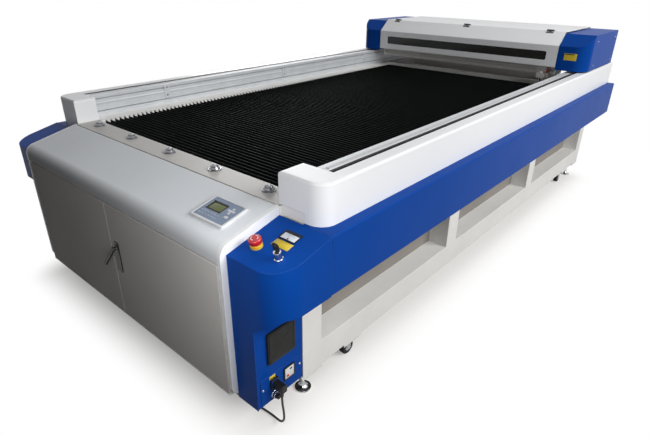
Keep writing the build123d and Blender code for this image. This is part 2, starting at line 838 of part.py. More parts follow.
def console_plane(from_plate, place_y):
    """Plane on the console's sloping top, facing out of it."""
    top_z = skirt_top_z + hood_slope * (place_y - hood_depth)
    return Plane(origin=(side_plate_outer + from_plate, door_y + place_y, top_z), x_dir=(1, 0, 0),
                 z_dir=hood_normal)


# Stop button: a ring on the console and a button that is pushed into it
stop_plane = console_plane(stop_from_plate, stop_y)
stop_floor = stop_ring_height - stop_stem_depth
stop_stem_bottom = stop_floor + stop_travel + running_clearance
stop_cap_bottom = stop_ring_height + stop_travel + running_clearance
with BuildPart() as stop_ring:
    with BuildSketch(stop_plane):
        Circle(stop_ring_radius)
    extrude(amount=stop_ring_height)
    fillet(stop_ring.faces().sort_by(Axis.Z)[-1].edges(), stop_ring_fillet)
    with BuildSketch(stop_plane.offset(stop_floor)):
        Circle(stop_stem_radius + running_clearance)
    extrude(amount=stop_ring_height, mode=Mode.SUBTRACT)
write_piece(stop_ring, "stop_ring")
with BuildPart() as stop_button:
    with BuildSketch(stop_plane.offset(stop_stem_bottom)):
        Circle(stop_stem_radius)
    extrude(amount=stop_cap_bottom - stop_stem_bottom)
    with BuildSketch(stop_plane.offset(stop_cap_bottom)):
        Circle(stop_cap_radius)
    extrude(amount=stop_cap_height)
    fillet(stop_button.faces().sort_by(Axis.Z)[-1].edges(), stop_cap_fillet)
write_piece(stop_button, "stop_button")

# Key switch with the key in it
key_plane = console_plane(key_from_plate, key_y)
with BuildPart() as key_barrel:
    with BuildSketch(key_plane):
        RegularPolygon(key_nut_radius, 6)
    extrude(amount=key_nut_height)
    with BuildSketch(key_plane.offset(key_nut_height)):
        Circle(key_barrel_radius)
    extrude(amount=key_barrel_height - key_nut_height)
    with BuildSketch(key_plane.offset(key_barrel_height - key_seat_depth)):
        Circle(key_shank_radius + running_clearance)
    extrude(amount=key_seat_depth, mode=Mode.SUBTRACT)
write_piece(key_barrel, "key_barrel")
key_shank_bottom = key_barrel_height - key_seat_depth + running_clearance
key_bow_bottom = key_barrel_height + key_bow_gap
with BuildPart() as key:
    with BuildSketch(key_plane.offset(key_shank_bottom)):
        Circle(key_shank_radius)
    extrude(amount=key_bow_bottom - key_shank_bottom)
    bow_plane = Plane(origin=key_plane.from_local_coords((0, -key_bow_thickness / 2, key_bow_bottom)),
                      x_dir=(1, 0, 0), z_dir=key_plane.y_dir)
    with BuildSketch(bow_plane):
        with Locations((0, -key_bow_height / 2)):
            RectangleRounded(key_bow_width, key_bow_height, panel_corner_radius)
        with Locations((0, -key_bow_height + 2 * key_bow_hole_radius)):
            Circle(key_bow_hole_radius, mode=Mode.SUBTRACT)
    extrude(amount=key_bow_thickness)
write_piece(key, "key")

# Long blue skirts: folded channels between the frame posts and the outer face, closed at the rear
skirt_start_y = hood_back_y + skirt_joint
with BuildPart() as right_skirt:
    with BuildSketch(Plane.XZ.offset(-skirt_start_y)):
        with BuildLine():
            FilletPolyline((frame_half_width, skirt_top_z), (cover_half_width, skirt_top_z),
                           (cover_half_width, skirt_bottom_z), (frame_half_width, skirt_bottom_z),
                           radius=bend_radius)
            offset(amount=sheet, side=Side.RIGHT)
        make_face()
    extrude(amount=-(rear_y - skirt_start_y))
    with BuildSketch(Plane.XZ.offset(-rear_y)):
        with BuildLine():
            FilletPolyline((frame_half_width, skirt_top_z), (cover_half_width, skirt_top_z),
                           (cover_half_width, skirt_bottom_z), (frame_half_width, skirt_bottom_z),
                           radius=bend_radius)
            Line((frame_half_width, skirt_bottom_z), (frame_half_width, skirt_top_z))
        make_face()
    extrude(amount=sheet)
write_piece(right_skirt, "right_skirt")
with BuildPart() as left_skirt:
    mirror(right_skirt.part, about=Plane.YZ)
write_piece(left_skirt, "left_skirt")


def rail_block_form(inset, reach):
    """Front block of a rail cover as a solid with one round corner, stepped where it rests on the beam."""
    with BuildPart() as form:
        with BuildSketch(Plane.XY.offset(skirt_top_z - reach)):
            with BuildLine():
                FilletPolyline((rail_block_inner + inset, rail_front_y + inset),
                               (rail_cover_half_width - inset, rail_front_y + inset),
                               (rail_cover_half_width - inset, rail_block_y - inset),
                               radius=rail_corner_radius - inset)
                Polyline((rail_cover_half_width - inset, rail_block_y - inset),
                         (rail_block_inner + inset, rail_block_y - inset),
                         (rail_block_inner + inset, rail_front_y + inset))
            make_face()
        extrude(amount=rail_cover_top_z - inset - skirt_top_z + reach)
        block(rail_block_inner - overrun, frame_half_width, rail_front_y - overrun, rail_block_y + overrun,
              skirt_top_z - overrun, deck_z - reach, Mode.SUBTRACT)
        if not inset:
            top_edges = form.faces().sort_by(Axis.Z)[-1].edges().sort_by(Axis.Y)
            fillet(top_edges[:-1], rail_edge_radius)
    return form.part


# White rail covers: a closed block in front, an angle cover that leaves the carriage slot open, a rear plate
with BuildPart() as rail_angle:
    with BuildSketch(Plane.XZ.offset(-rail_block_y)):
        with BuildLine():
            FilletPolyline((slot_outer, rail_cover_top_z), (rail_cover_half_width, rail_cover_top_z),
                           (rail_cover_half_width, skirt_top_z), radius=rail_edge_radius)
            offset(amount=sheet, side=Side.RIGHT)
        make_face()
    extrude(amount=-(rear_y - rail_block_y))
with BuildPart() as right_rail_cover:
    add(rail_block_form(0, 0))
    add(rail_block_form(sheet, overrun), mode=Mode.SUBTRACT)
    block(slot_outer, rail_cover_half_width - sheet, rail_block_y - 2 * sheet, rail_block_y + overrun,
          skirt_top_z - overrun, rail_cover_top_z - sheet, Mode.SUBTRACT)
    add(rail_angle.part)
    with BuildSketch(Plane.XZ.offset(-rear_y)):
        with BuildLine():
            FilletPolyline((profile_inner, rail_cover_top_z), (rail_cover_half_width, rail_cover_top_z),
                           (rail_cover_half_width, skirt_top_z), radius=rail_edge_radius)
            Polyline((rail_cover_half_width, skirt_top_z), (frame_half_width, skirt_top_z),
                     (frame_half_width, deck_z), (profile_inner, deck_z), (profile_inner, rail_cover_top_z))
        make_face()
    extrude(amount=sheet)
write_piece(right_rail_cover, "right_rail_cover")
with BuildPart() as left_rail_cover:
    mirror(right_rail_cover.part, about=Plane.YZ)
write_piece(left_rail_cover, "left_rail_cover")

# Aluminium rail profiles with two undercut grooves inside, a belt groove on top and clamp plates
belt_x = profile_inner + belt_from_edge
profile_top_z = rail_cover_top_z - profile_drop
profile_height = profile_top_z - deck_z
profile_end_y = rear_y - profile_rear_gap
with BuildPart() as rail_profile:
    with BuildSketch(Plane.XZ.offset(-rail_block_y)):
        with Locations(((profile_inner + slot_inner) / 2, deck_z + profile_height / 2)):
            Rectangle(slot_inner - profile_inner, profile_height)
        for groove_share in groove_shares:
            groove_z = deck_z + groove_share * profile_height
            with Locations((profile_inner, groove_z)):
                Rectangle(2 * groove_depth, groove_mouth, mode=Mode.SUBTRACT)
            with Locations((profile_inner + groove_depth, groove_z)):
                Rectangle(groove_depth, groove_width, mode=Mode.SUBTRACT)
        with Locations((belt_x, profile_top_z)):
            Rectangle(belt_width + 2 * running_clearance, 2 * belt_thickness, mode=Mode.SUBTRACT)
    extrude(amount=-(profile_end_y - rail_block_y))
with BuildPart() as left_profile:
    mirror(rail_profile.part, about=Plane.YZ)
profile_solids = [rail_profile.part, left_profile.part]
for side in both_sides:
    for clamp_share in clamp_shares:
        clamp_y = rail_block_y + clamp_share * (profile_end_y - rail_block_y)
        with BuildPart() as clamp_plate:
            block(side * (profile_inner - sheet), side * profile_inner, clamp_y - clamp_length / 2,
                  clamp_y + clamp_length / 2, deck_z + clamp_rise, profile_top_z - clamp_top_gap)
        profile_solids.append(clamp_plate.part)
write_group(profile_solids, "rail_profiles")

# Steel guides on the outer faces of the profiles
guide_z = deck_z + guide_rise
with BuildPart() as guide_rails:
    for side in both_sides:
        block(side * slot_inner, side * (slot_inner + guide_width), rail_block_y, profile_end_y,
              guide_z - guide_height / 2, guide_z + guide_height / 2)
write_piece(guide_rails, "guide_rails")

# Toothed belts that lie in the profiles' top grooves
with BuildPart() as drive_belts:
    for side in both_sides:
        block(side * (belt_x - belt_width / 2), side * (belt_x + belt_width / 2),
              rail_block_y + belt_end_gap,
              profile_end_y - belt_end_gap, profile_top_z - belt_thickness, profile_top_z)
write_piece(drive_belts, "drive_belts")

# Front plate, folded down at the bed
with BuildPart() as front_plate:
    with BuildSketch(Plane.YZ.offset(-post_inner)):
        with BuildLine():
            FilletPolyline((hood_back_y + front_plate_gap, deck_z), (bed_front_y, deck_z),
                           (bed_front_y, deck_z - front_plate_flange), radius=bend_radius)
            offset(amount=sheet, side=Side.RIGHT)
        make_face()
    extrude(amount=2 * post_inner)
write_piece(front_plate, "front_plate")

# Ball units that carry a sheet onto the bed: a flanged cup with the ball standing out of it
ball_centre = ball_cup_height + ball_rise - ball_radius
ball_mouth = (ball_radius ** 2 - (ball_cup_height - ball_centre) ** 2) ** 0.5
with BuildPart() as ball_unit:
    with BuildSketch(Plane.XZ):
        with BuildLine():
            Polyline((0, ball_centre + ball_radius), (0, 0), (ball_flange_radius, 0),
                     (ball_flange_radius, ball_flange_height), (ball_cup_radius, ball_flange_height))
            Line((ball_cup_radius, ball_flange_height), (ball_mouth, ball_cup_height))
            RadiusArc((ball_mouth, ball_cup_height), (0, ball_centre + ball_radius), -ball_radius)
        make_face()
    revolve(axis=Axis.Z)
ball_units = []
for number in range(ball_count):
    ball_x = (number - (ball_count - 1) / 2) * ball_pitch
    ball_units.append(ball_unit.part.moved(Location((ball_x, hood_back_y + ball_from_hood, deck_z))))
write_group(ball_units, "ball_units")

# Knife slats across the bed, seated in notched combs along both deck edges
slat_top_z = deck_z - slat_below_deck
slat_bottom_z = slat_top_z - slat_height
slat_count = int((bed_rear_y - bed_front_y) / slat_pitch) - 1
slat_places = [bed_front_y + (number + 1) * slat_pitch for number in range(slat_count)]
comb_inner = post_inner - comb_width
comb_root = comb_inner + comb_notch
slat_half_length = comb_root - slat_end_gap
with BuildPart() as slat:
    with BuildSketch(Plane.YZ.offset(-slat_half_length)):
        with BuildLine():
            Polyline((-slat_base / 2, slat_bottom_z), (slat_base / 2, slat_bottom_z),
                     (slat_tip / 2, slat_top_z),
                     (-slat_tip / 2, slat_top_z), close=True)
        make_face()
    extrude(amount=2 * slat_half_length)
write_group([slat.part.moved(Location((0, place, 0))) for place in slat_places], "slat_bed")

with BuildPart() as slat_combs:
    for side in both_sides:
        with BuildSketch(Plane.XY.offset(slat_bottom_z)):
            with Locations((side * (comb_inner + post_inner) / 2, (bed_front_y + bed_rear_y) / 2)):
                Rectangle(post_inner - comb_inner, bed_rear_y - bed_front_y)
            with Locations(*[(side * comb_inner, place) for place in slat_places]):
                Rectangle(2 * (comb_root - comb_inner), slat_base + 2 * comb_play, mode=Mode.SUBTRACT)
        extrude(amount=deck_z - slat_bottom_z)
        block(side * comb_inner, side * post_inner, bed_front_y, bed_rear_y, slat_bottom_z - comb_ledge,
              slat_bottom_z)
write_piece(slat_combs, "slat_combs")

# Bar that closes the rear of the bed
with BuildPart() as rear_bar:
    block(-post_inner, post_inner, bed_rear_y, bed_rear_y + rear_bar_depth,
          deck_z + rear_bar_rise - rear_bar_height,
          deck_z + rear_bar_rise)
write_piece(rear_bar, "rear_bar")

# Gantry beam: grooved box section with the guide for the cutting head on its front
beam_half_length = cap_inner - end_plate - beam_end_gap
beam_front_y = gantry_y + beam_back_of_cover
beam_back_y = beam_front_y + beam_depth
beam_bottom_z = gantry_bottom_z - beam_hang
beam_top_z = beam_bottom_z + beam_height
beam_rail_z = beam_bottom_z + beam_rail_rise
groove_pitch = beam_height / (beam_groove_count + 1)
with BuildPart() as beam_section:
    with BuildSketch(Plane.YZ.offset(-beam_half_length)):
        with Locations(((beam_front_y + beam_back_y) / 2, (beam_bottom_z + beam_top_z) / 2)):
            Rectangle(beam_depth, beam_height)
        for number in range(beam_groove_count):
            with Locations((beam_back_y, beam_bottom_z + (number + 1) * groove_pitch)):
                Rectangle(2 * beam_groove_depth, beam_groove_width, mode=Mode.SUBTRACT)
        with Locations((beam_front_y, beam_bottom_z + groove_pitch)):
            Rectangle(2 * beam_groove_depth, beam_groove_width, mode=Mode.SUBTRACT)
    extrude(amount=2 * beam_half_length)
with BuildPart() as beam_guide:
    block(-beam_half_length, beam_half_length, beam_front_y - beam_rail_depth, beam_front_y,
          beam_rail_z - beam_rail_height / 2, beam_rail_z + beam_rail_height / 2)
write_group([beam_section.part, beam_guide.part], "gantry_beam")

# Brackets that carry the beam: end plates, saddles over the rails, arms, carriages and bearings
saddle_bottom_z = gantry_bottom_z + end_plate
arm_x = slot_inner + (slot_width - arm_thickness) / 2
saddle_outer = arm_x + arm_thickness
carriage_inner = slot_inner + guide_width + running_clearance
carriage_top_z = guide_z + carriage_height / 2
arm_front_y = beam_front_y + arm_set_back
arm_back_y = arm_front_y + arm_length
shaft_y = beam_front_y + saddle_length + shaft_gap + pulley_radius
shaft_z = profile_top_z + pulley_radius + running_clearance
floor_plate_z = gantry_bottom_z - floor_hang
floor_top_z = floor_plate_z + sheet
bracket_solids = []
for side in both_sides:
    with BuildPart() as end_bracket:
        block(side * beam_half_length, side * (beam_half_length + end_plate), beam_front_y, beam_back_y,
              beam_bottom_z, saddle_bottom_z)
    with BuildPart() as saddle:
        block(side * beam_half_length, side * saddle_outer, beam_front_y, beam_front_y + saddle_length,
              saddle_bottom_z, saddle_bottom_z + saddle_thickness)
    with BuildPart() as arm:
        block(side * arm_x, side * saddle_outer, arm_front_y, arm_back_y, carriage_top_z, saddle_bottom_z)
        block(side * arm_x, side * (carriage_inner + carriage_width), arm_front_y, arm_back_y,
              carriage_top_z,
              carriage_top_z + arm_thickness)
    bracket_solids += [end_bracket.part, saddle.part, arm.part]
    for start_y in (arm_front_y, arm_back_y - carriage_length):
        with BuildPart() as carriage:
            block(side * carriage_inner, side * (carriage_inner + carriage_width), start_y,
                  start_y + carriage_length,
                  guide_z - carriage_height / 2, carriage_top_z)
        bracket_solids.append(carriage.part)
    with BuildPart() as bearing:
        bearing_x = beam_half_length - end_plate - bearing_thickness / 2
        block(side * (bearing_x - bearing_thickness / 2), side * (bearing_x + bearing_thickness / 2),
              shaft_y - bearing_block / 2, shaft_y + bearing_block / 2, floor_top_z,
              shaft_z + bearing_block / 2)
        rod(side * bearing_x, shaft_y, shaft_z, shaft_radius + running_clearance,
            bearing_thickness + overrun, along_x,
            Mode.SUBTRACT)
    bracket_solids.append(bearing.part)
write_group(bracket_solids, "gantry_brackets")

# Drive shaft across the gantry, with a pulley over each belt
shaft_half_length = belt_x + pulley_width / 2 + shaft_end_gap
with BuildPart() as drive_shaft:
    rod(0, shaft_y, shaft_z, shaft_radius, 2 * shaft_half_length, along_x)
    for side in both_sides:
        rod(side * belt_x, shaft_y, shaft_z, pulley_radius, pulley_width, along_x)
write_piece(drive_shaft, "drive_shaft")

# Motors: a hollow-shaft one on the drive shaft, and one standing on the beam for the head
motor_half = shaft_z - floor_top_z
x_motor_x = -(beam_half_length - x_pulley_inset)
beam_middle_y = (beam_front_y + beam_back_y) / 2
with BuildPart() as shaft_motor:
    block(motor_x - motor_length / 2, motor_x + motor_length / 2, shaft_y - motor_half,
          shaft_y + motor_half,
          floor_top_z, shaft_z + motor_half)
    rod(motor_x, shaft_y, shaft_z, shaft_radius + running_clearance, motor_length + overrun, along_x,
        Mode.SUBTRACT)
with BuildPart() as head_motor:
    block(x_motor_x - x_motor_size / 2, x_motor_x + x_motor_size / 2, beam_middle_y - x_motor_size / 2,
          beam_middle_y + x_motor_size / 2, beam_top_z, beam_top_z + x_motor_height)
    rod(x_motor_x, beam_middle_y, beam_top_z + x_motor_height + x_motor_shaft_length / 2,
        x_motor_shaft_radius,
        x_motor_shaft_length)
write_group([shaft_motor.part, head_motor.part], "axis_motors")

# Head belt: a flat loop round the motor pulley and an idler on a post
x_belt_bottom_z = beam_top_z + x_motor_height + x_belt_gap
loop_inner = x_pulley_radius + running_clearance
loop_outer = loop_inner + x_belt_thickness
with BuildPart() as belt_loop:
    with BuildSketch(Plane.XY.offset(x_belt_bottom_z)):
        with Locations((0, beam_middle_y)):
            SlotCenterToCenter(-2 * x_motor_x, 2 * loop_outer)
            SlotCenterToCenter(-2 * x_motor_x, 2 * loop_inner, mode=Mode.SUBTRACT)
    extrude(amount=x_belt_width)
with BuildPart() as motor_pulley:
    rod(x_motor_x, beam_middle_y, x_belt_bottom_z + x_belt_width / 2, x_pulley_radius, x_belt_width)
    rod(x_motor_x, beam_middle_y, x_belt_bottom_z, x_motor_shaft_radius, 2 * x_belt_width + overrun,
        mode=Mode.SUBTRACT)
with BuildPart() as idler:
    rod(-x_motor_x, beam_middle_y, x_belt_bottom_z + x_belt_width / 2, x_pulley_radius, x_belt_width)
    rod(-x_motor_x, beam_middle_y, (beam_top_z + x_belt_bottom_z) / 2, x_motor_shaft_radius,
        x_belt_bottom_z - beam_top_z)
write_group([belt_loop.part, motor_pulley.part, idler.part], "head_belt")

# Laser tube on two stands
laser_y = shaft_y + laser_behind_shaft
laser_z = floor_top_z + laser_rise
laser_half_length = cap_inner + laser_overhang
with BuildPart() as laser_body:
    rod(0, laser_y, laser_z, laser_radius, 2 * laser_half_length, along_x)
    for side in both_sides:
        rod(side * (laser_half_length + laser_cap_length / 2), laser_y, laser_z, laser_cap_radius,
            laser_cap_length,
            along_x)
laser_solids = [laser_body.part]
for side in both_sides:
    with BuildPart() as laser_stand:
        block(side * (laser_stand_x - laser_stand_width / 2),
              side * (laser_stand_x + laser_stand_width / 2),
              laser_y - laser_stand_foot / 2, laser_y + laser_stand_foot / 2, floor_top_z, laser_z)
        rod(side * laser_stand_x, laser_y, laser_z, laser_radius + running_clearance,
            laser_stand_width + overrun,
            along_x, Mode.SUBTRACT)
    laser_solids.append(laser_stand.part)
write_group(laser_solids, "laser_tube")

# Gantry covers: a fixed rear channel and a front flap hinged at the top crease
cover_half = cap_inner - cap_gap
cover_top_z = gantry_top_z + cover_above_cap
crease_y = gantry_y + gantry_slope_run
cover_bottom_z = gantry_bottom_z + cover_bottom_rise
knuckle_z = cover_top_z + hinge_knuckle_radius
pin_radius = hinge_knuckle_radius / 2
hinge_x = cover_half - hinge_from_end
hinge_places = (-hinge_x, 0, hinge_x)
leaf_end = hinge_leaf_share * hinge_length
front_slope = Plane(origin=(0, crease_y, cover_top_z), x_dir=(1, 0, 0),
                    z_dir=(0, gantry_knee_z - cover_top_z, gantry_slope_run))
with BuildPart() as gantry_rear_cover:
    with BuildSketch(Plane.YZ.offset(-cap_inner)):
        with BuildLine():
            FilletPolyline((crease_y + crease_gap / 2, cover_top_z), (gantry_back_y, cover_top_z),
                           (gantry_back_y, floor_plate_z), (beam_back_y, floor_plate_z), radius=bend_radius)
            offset(amount=sheet, side=Side.RIGHT)
        make_face()
    extrude(amount=2 * cap_inner)
    for place in hinge_places:
        for side in both_sides:
            leaf_middle = place + side * (hinge_length - leaf_end) / 2
            rod(leaf_middle, crease_y, knuckle_z, hinge_knuckle_radius, leaf_end, along_x)
        block(place - hinge_length / 2, place + hinge_length / 2, crease_y + hinge_knuckle_radius,
              crease_y + hinge_leaf_length, cover_top_z, cover_top_z + hinge_leaf_thickness)
        for side in both_sides:
            leaf_middle = place + side * (hinge_length - leaf_end) / 2
            block(leaf_middle - leaf_end / 2, leaf_middle + leaf_end / 2, crease_y,
                  crease_y + hinge_leaf_length,
                  cover_top_z, cover_top_z + hinge_leaf_thickness)
        rod(place, crease_y, knuckle_z, pin_radius, hinge_length, along_x)
write_piece(gantry_rear_cover, "gantry_rear_cover")

window_half_width = cover_half - window_side
window_bottom_z = cover_bottom_z + window_rise
window_top_z = window_bottom_z + window_height
knuckle_length = hinge_length - 2 * leaf_end - 2 * running_clearance
with BuildPart() as gantry_front_cover:
    with BuildSketch(Plane.YZ.offset(-cover_half)):
        with BuildLine():
            FilletPolyline((crease_y - crease_gap / 2, cover_top_z), (gantry_y, gantry_knee_z),
                           (gantry_y, cover_bottom_z), (gantry_y + cover_hem, cover_bottom_z),
                           radius=bend_radius)
            offset(amount=sheet, side=Side.LEFT)
        make_face()
    extrude(amount=2 * cover_half)
    with BuildSketch(Plane.XZ.offset(-gantry_y)):
        with Locations((0, (window_bottom_z + window_top_z) / 2)):
            RectangleRounded(2 * window_half_width, window_height, window_radius)
    extrude(amount=-beam_back_of_cover / 2, mode=Mode.SUBTRACT)
    for place in hinge_places:
        rod(place, crease_y, knuckle_z, hinge_knuckle_radius, knuckle_length, along_x)
        with BuildSketch(front_slope):
            with Locations((place, -hinge_leaf_length / 2)):
                Rectangle(knuckle_length, hinge_leaf_length)
        extrude(amount=hinge_leaf_thickness)
        rod(place, crease_y, knuckle_z, pin_radius + running_clearance, knuckle_length + overrun, along_x,
            Mode.SUBTRACT)
write_piece(gantry_front_cover, "gantry_front_cover")

with BuildPart() as cover_window:
    with BuildSketch(Plane.XZ.offset(-gantry_y)):
        with Locations((0, (window_bottom_z + window_top_z) / 2)):
            RectangleRounded(2 * (window_half_width - window_clearance),
                             window_height - 2 * window_clearance,
                             window_radius - window_clearance)
    extrude(amount=-sheet)
write_piece(cover_window, "cover_window")


def cap_form(inset, reach):
    """Gantry end cap as a solid: the covers' side outline with one large round corner in plan."""
    with BuildPart() as form:
        with BuildSketch(Plane.YZ.offset(cap_inner - reach)):
            with BuildLine():
                slope_shift = inset * (1 - sin(cap_slope)) / cos(cap_slope)
                Polyline((gantry_y + inset, gantry_bottom_z - reach),
                         (gantry_y + inset, gantry_knee_z - slope_shift),
                         (crease_y + inset * tan(cap_slope / 2), gantry_top_z - inset),
                         (gantry_back_y - inset, gantry_top_z - inset),
                         (gantry_back_y - inset, gantry_bottom_z - reach),
                         close=True)
            make_face()
        extrude(amount=rail_cover_half_width - inset - cap_inner + reach)
        with BuildSketch(Plane.XY.offset(gantry_bottom_z - reach)):
            with BuildLine():
                FilletPolyline((cap_inner - reach, gantry_y + inset),
                               (rail_cover_half_width - inset, gantry_y + inset),
                               (rail_cover_half_width - inset, gantry_back_y - inset),
                               (cap_inner - reach, gantry_back_y - inset),
                               radius=[cap_radius - inset, rail_edge_radius - inset])
                Line((cap_inner - reach, gantry_back_y - inset), (cap_inner - reach, gantry_y + inset))
            make_face()
        extrude(amount=gantry_top_z - gantry_bottom_z + reach, mode=Mode.INTERSECT)
    return form.part


# Blue end caps over the rails, open below and towards the white covers
cap_slope = atan2(gantry_top_z - gantry_knee_z, gantry_slope_run)
with BuildPart() as right_gantry_cap:
    add(cap_form(0, 0))
    add(cap_form(sheet, overrun), mode=Mode.SUBTRACT)
write_piece(right_gantry_cap, "right_gantry_cap")
with BuildPart() as left_gantry_cap:
    mirror(right_gantry_cap.part, about=Plane.YZ)
write_piece(left_gantry_cap, "left_gantry_cap")

# Cutting head: back plate on the guide, mirror block and the clamp that holds the lens tube
plate_back_y = beam_front_y - beam_rail_depth - running_clearance
plate_front_y = plate_back_y - head_plate_thickness
lens_y = plate_front_y - lens_stand_off
head_x = beam_half_length - head_parking
head_bottom_z = beam_rail_z - head_below_rail
clamp_top_z = head_bottom_z + clamp_height
mirror_bottom_z = clamp_top_z + mirror_gap
lens_neck_z = head_bottom_z - lens_below_clamp
lens_top_z = clamp_top_z + lens_above_clamp
nozzle_tip_z = lens_neck_z - nozzle_height
clamp_front_y = lens_y - lens_radius - lens_wall
with BuildPart() as head_carriage:
    block(head_x - head_plate_width / 2, head_x + head_plate_width / 2, plate_front_y, plate_back_y,
          head_bottom_z,
          beam_rail_z + head_above_rail)
    block(head_x - mirror_block_width / 2, head_x + mirror_block_width / 2,
          plate_front_y - mirror_block_depth,
          plate_front_y, mirror_bottom_z, mirror_bottom_z + mirror_block_height)
    block(head_x - clamp_width / 2, head_x + clamp_width / 2, clamp_front_y, plate_front_y, head_bottom_z,
          head_bottom_z + clamp_height)
    rod(head_x, lens_y, head_bottom_z + clamp_height / 2, lens_radius + running_clearance,
        clamp_height + overrun,
        mode=Mode.SUBTRACT)
write_piece(head_carriage, "head_carriage")
with BuildPart() as lens_tube:
    with BuildSketch(Plane(origin=(head_x, lens_y, 0), x_dir=(1, 0, 0), z_dir=(0, -1, 0))):
        with BuildLine():
            Polyline((0, nozzle_tip_z), (nozzle_tip_radius, nozzle_tip_z), (lens_radius, lens_neck_z),
                     (lens_radius, lens_top_z), (0, lens_top_z), close=True)
        make_face()
    revolve(axis=Axis((head_x, lens_y, 0), (0, 0, 1)))
write_piece(lens_tube, "lens_tube")

# Plug in the power socket, with its cord outlet facing down
plug_start_x = panel_face_x + inlet_thickness + socket_depth
socket_y = inlet_y + socket_shift_y
socket_z = inlet_z + socket_shift_z
outlet_x = plug_start_x + plug_length - plug_height / 2
plug_bottom_z = socket_z - plug_height / 2
cord_start_z = plug_bottom_z - plug_nose
with BuildPart() as plug:
    with BuildSketch(Plane.YZ.offset(plug_start_x)):
        with Locations((door_y + socket_y, socket_z)):
            RectangleRounded(plug_width, plug_height, panel_corner_radius)
    extrude(amount=plug_length)
    fillet(plug.faces().sort_by(Axis.X)[-1].edges(), panel_corner_radius - overrun / 2)
    with Locations((outlet_x, door_y + socket_y, plug_bottom_z - plug_nose / 2)):
        Cone(cord_radius + relief_wall, cord_radius + plug_nose_wall, plug_nose)

# Mains plug at the cord's far end, lying on the floor beside the coil
mains_z = mains_thickness / 2
mains_y = door_y + coil_y - coil_radius - coil_width / 2 + cord_radius + relief_wall
mains_nose_x = coil_x - coil_radius + coil_width / 2 - mains_gap
mains_x = mains_nose_x - plug_nose
mains_end_x = mains_x - mains_length
with BuildPart() as mains_plug:
    with BuildSketch(Plane.YZ.offset(mains_end_x)):
        with Locations((mains_y, mains_z)):
            RectangleRounded(mains_width, mains_thickness, mains_fillet)
    extrude(amount=mains_length)
    with Locations(Location((mains_nose_x - plug_nose / 2, mains_y, mains_z), along_x)):
        Cone(cord_radius + plug_nose_wall, cord_radius + relief_wall, plug_nose)
    for side in both_sides:
        rod(mains_end_x - pin_length / 2, mains_y + side * pin_pitch / 2, mains_z, pin_diameter / 2,
            pin_length, along_x)
write_group([plug.part, mains_plug.part], "plug")

# Power cord: the free stretch from the plug to the floor and under the cabinet
cord_route = [(outlet_x, door_y + socket_y, cord_start_z)]
for point_x, point_y, point_z in cord_points:
    cord_route.append((point_x, door_y + point_y, point_z))


def bend_radii(route):
    """Largest even bends: a share of the shorter run over the tangent of half the turn."""
    radii = []
    for before, corner, after in zip(route, route[1:], route[2:]):
        run_in = Vector(*corner) - Vector(*before)
        run_out = Vector(*after) - Vector(*corner)
        half_turn = radians(run_in.get_angle(run_out)) / 2
        radii.append(cord_bend_share * min(run_in.length, run_out.length) / tan(half_turn))
    return radii


cord_radii = bend_radii(cord_route)
print("cord radii", [round(radius) for radius in cord_radii])
with BuildPart() as power_cord:
    with BuildLine() as cord_path:
        FilletPolyline(*cord_route, radius=cord_radii)
    with BuildSketch(Plane(origin=cord_path.line @ 0, z_dir=cord_path.line % 0)):
        Circle(cord_radius)
    sweep()
cord_length = cord_path.wire().length
print("cord length", round(cord_length), "volume share",
      round(power_cord.part.volume / (pi * cord_radius ** 2 * cord_length), 4))
write_piece(power_cord, "power_cord")

# Coil of the cord's spare length, lying under the cabinet
with BuildPart() as cord_coil:
    with BuildSketch(Plane.XZ):
        with Locations((coil_radius, coil_height / 2)):
            RectangleRounded(coil_width, coil_height, coil_fillet)
    revolve(axis=Axis.Z)
coil_place = Location((coil_x, door_y + coil_y, 0))
write_group([cord_coil.part.moved(coil_place)], "cord_coil")
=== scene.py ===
from math import atan2, cos, pi, radians, sin, sqrt
import bmesh
import bpy
from mathutils import Matrix, Vector


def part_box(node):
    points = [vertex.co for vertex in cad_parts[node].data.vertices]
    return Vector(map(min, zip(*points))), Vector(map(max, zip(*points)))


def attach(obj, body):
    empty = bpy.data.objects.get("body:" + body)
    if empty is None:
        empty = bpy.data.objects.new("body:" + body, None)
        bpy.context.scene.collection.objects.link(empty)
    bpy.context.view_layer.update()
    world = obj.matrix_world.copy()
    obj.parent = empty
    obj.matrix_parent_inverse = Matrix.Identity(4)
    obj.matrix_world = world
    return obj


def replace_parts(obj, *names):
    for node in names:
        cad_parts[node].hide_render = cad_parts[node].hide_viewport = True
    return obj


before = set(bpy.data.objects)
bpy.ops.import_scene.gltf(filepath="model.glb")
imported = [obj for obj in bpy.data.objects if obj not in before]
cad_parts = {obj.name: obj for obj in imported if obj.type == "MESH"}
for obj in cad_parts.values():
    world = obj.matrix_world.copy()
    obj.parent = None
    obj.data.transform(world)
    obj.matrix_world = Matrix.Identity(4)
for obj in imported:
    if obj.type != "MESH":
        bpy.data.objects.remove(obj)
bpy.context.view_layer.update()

# Camera: a short lens held above head height off the machine's right front corner,
# looking down the length of the bed.
camera_data = bpy.data.cameras.new("camera")
camera_data.sensor_width = 36.0
camera_data.lens = 27.305
camera_data.clip_end = 60.0
camera = bpy.data.objects.new("camera", camera_data)
bpy.context.scene.collection.objects.link(camera)
bpy.context.scene.camera = camera
camera_yaw = Matrix.Rotation(radians(40.77), 4, "Z")
camera_pitch = Matrix.Rotation(radians(90.0 - 26.02), 4, "X")
camera_roll = Matrix.Rotation(radians(0.58), 4, "Z")
camera_stand = Matrix.Translation((1.7677, -2.46705, 1.4358))
camera.matrix_world = camera_stand @ camera_yaw @ camera_pitch @ camera_roll

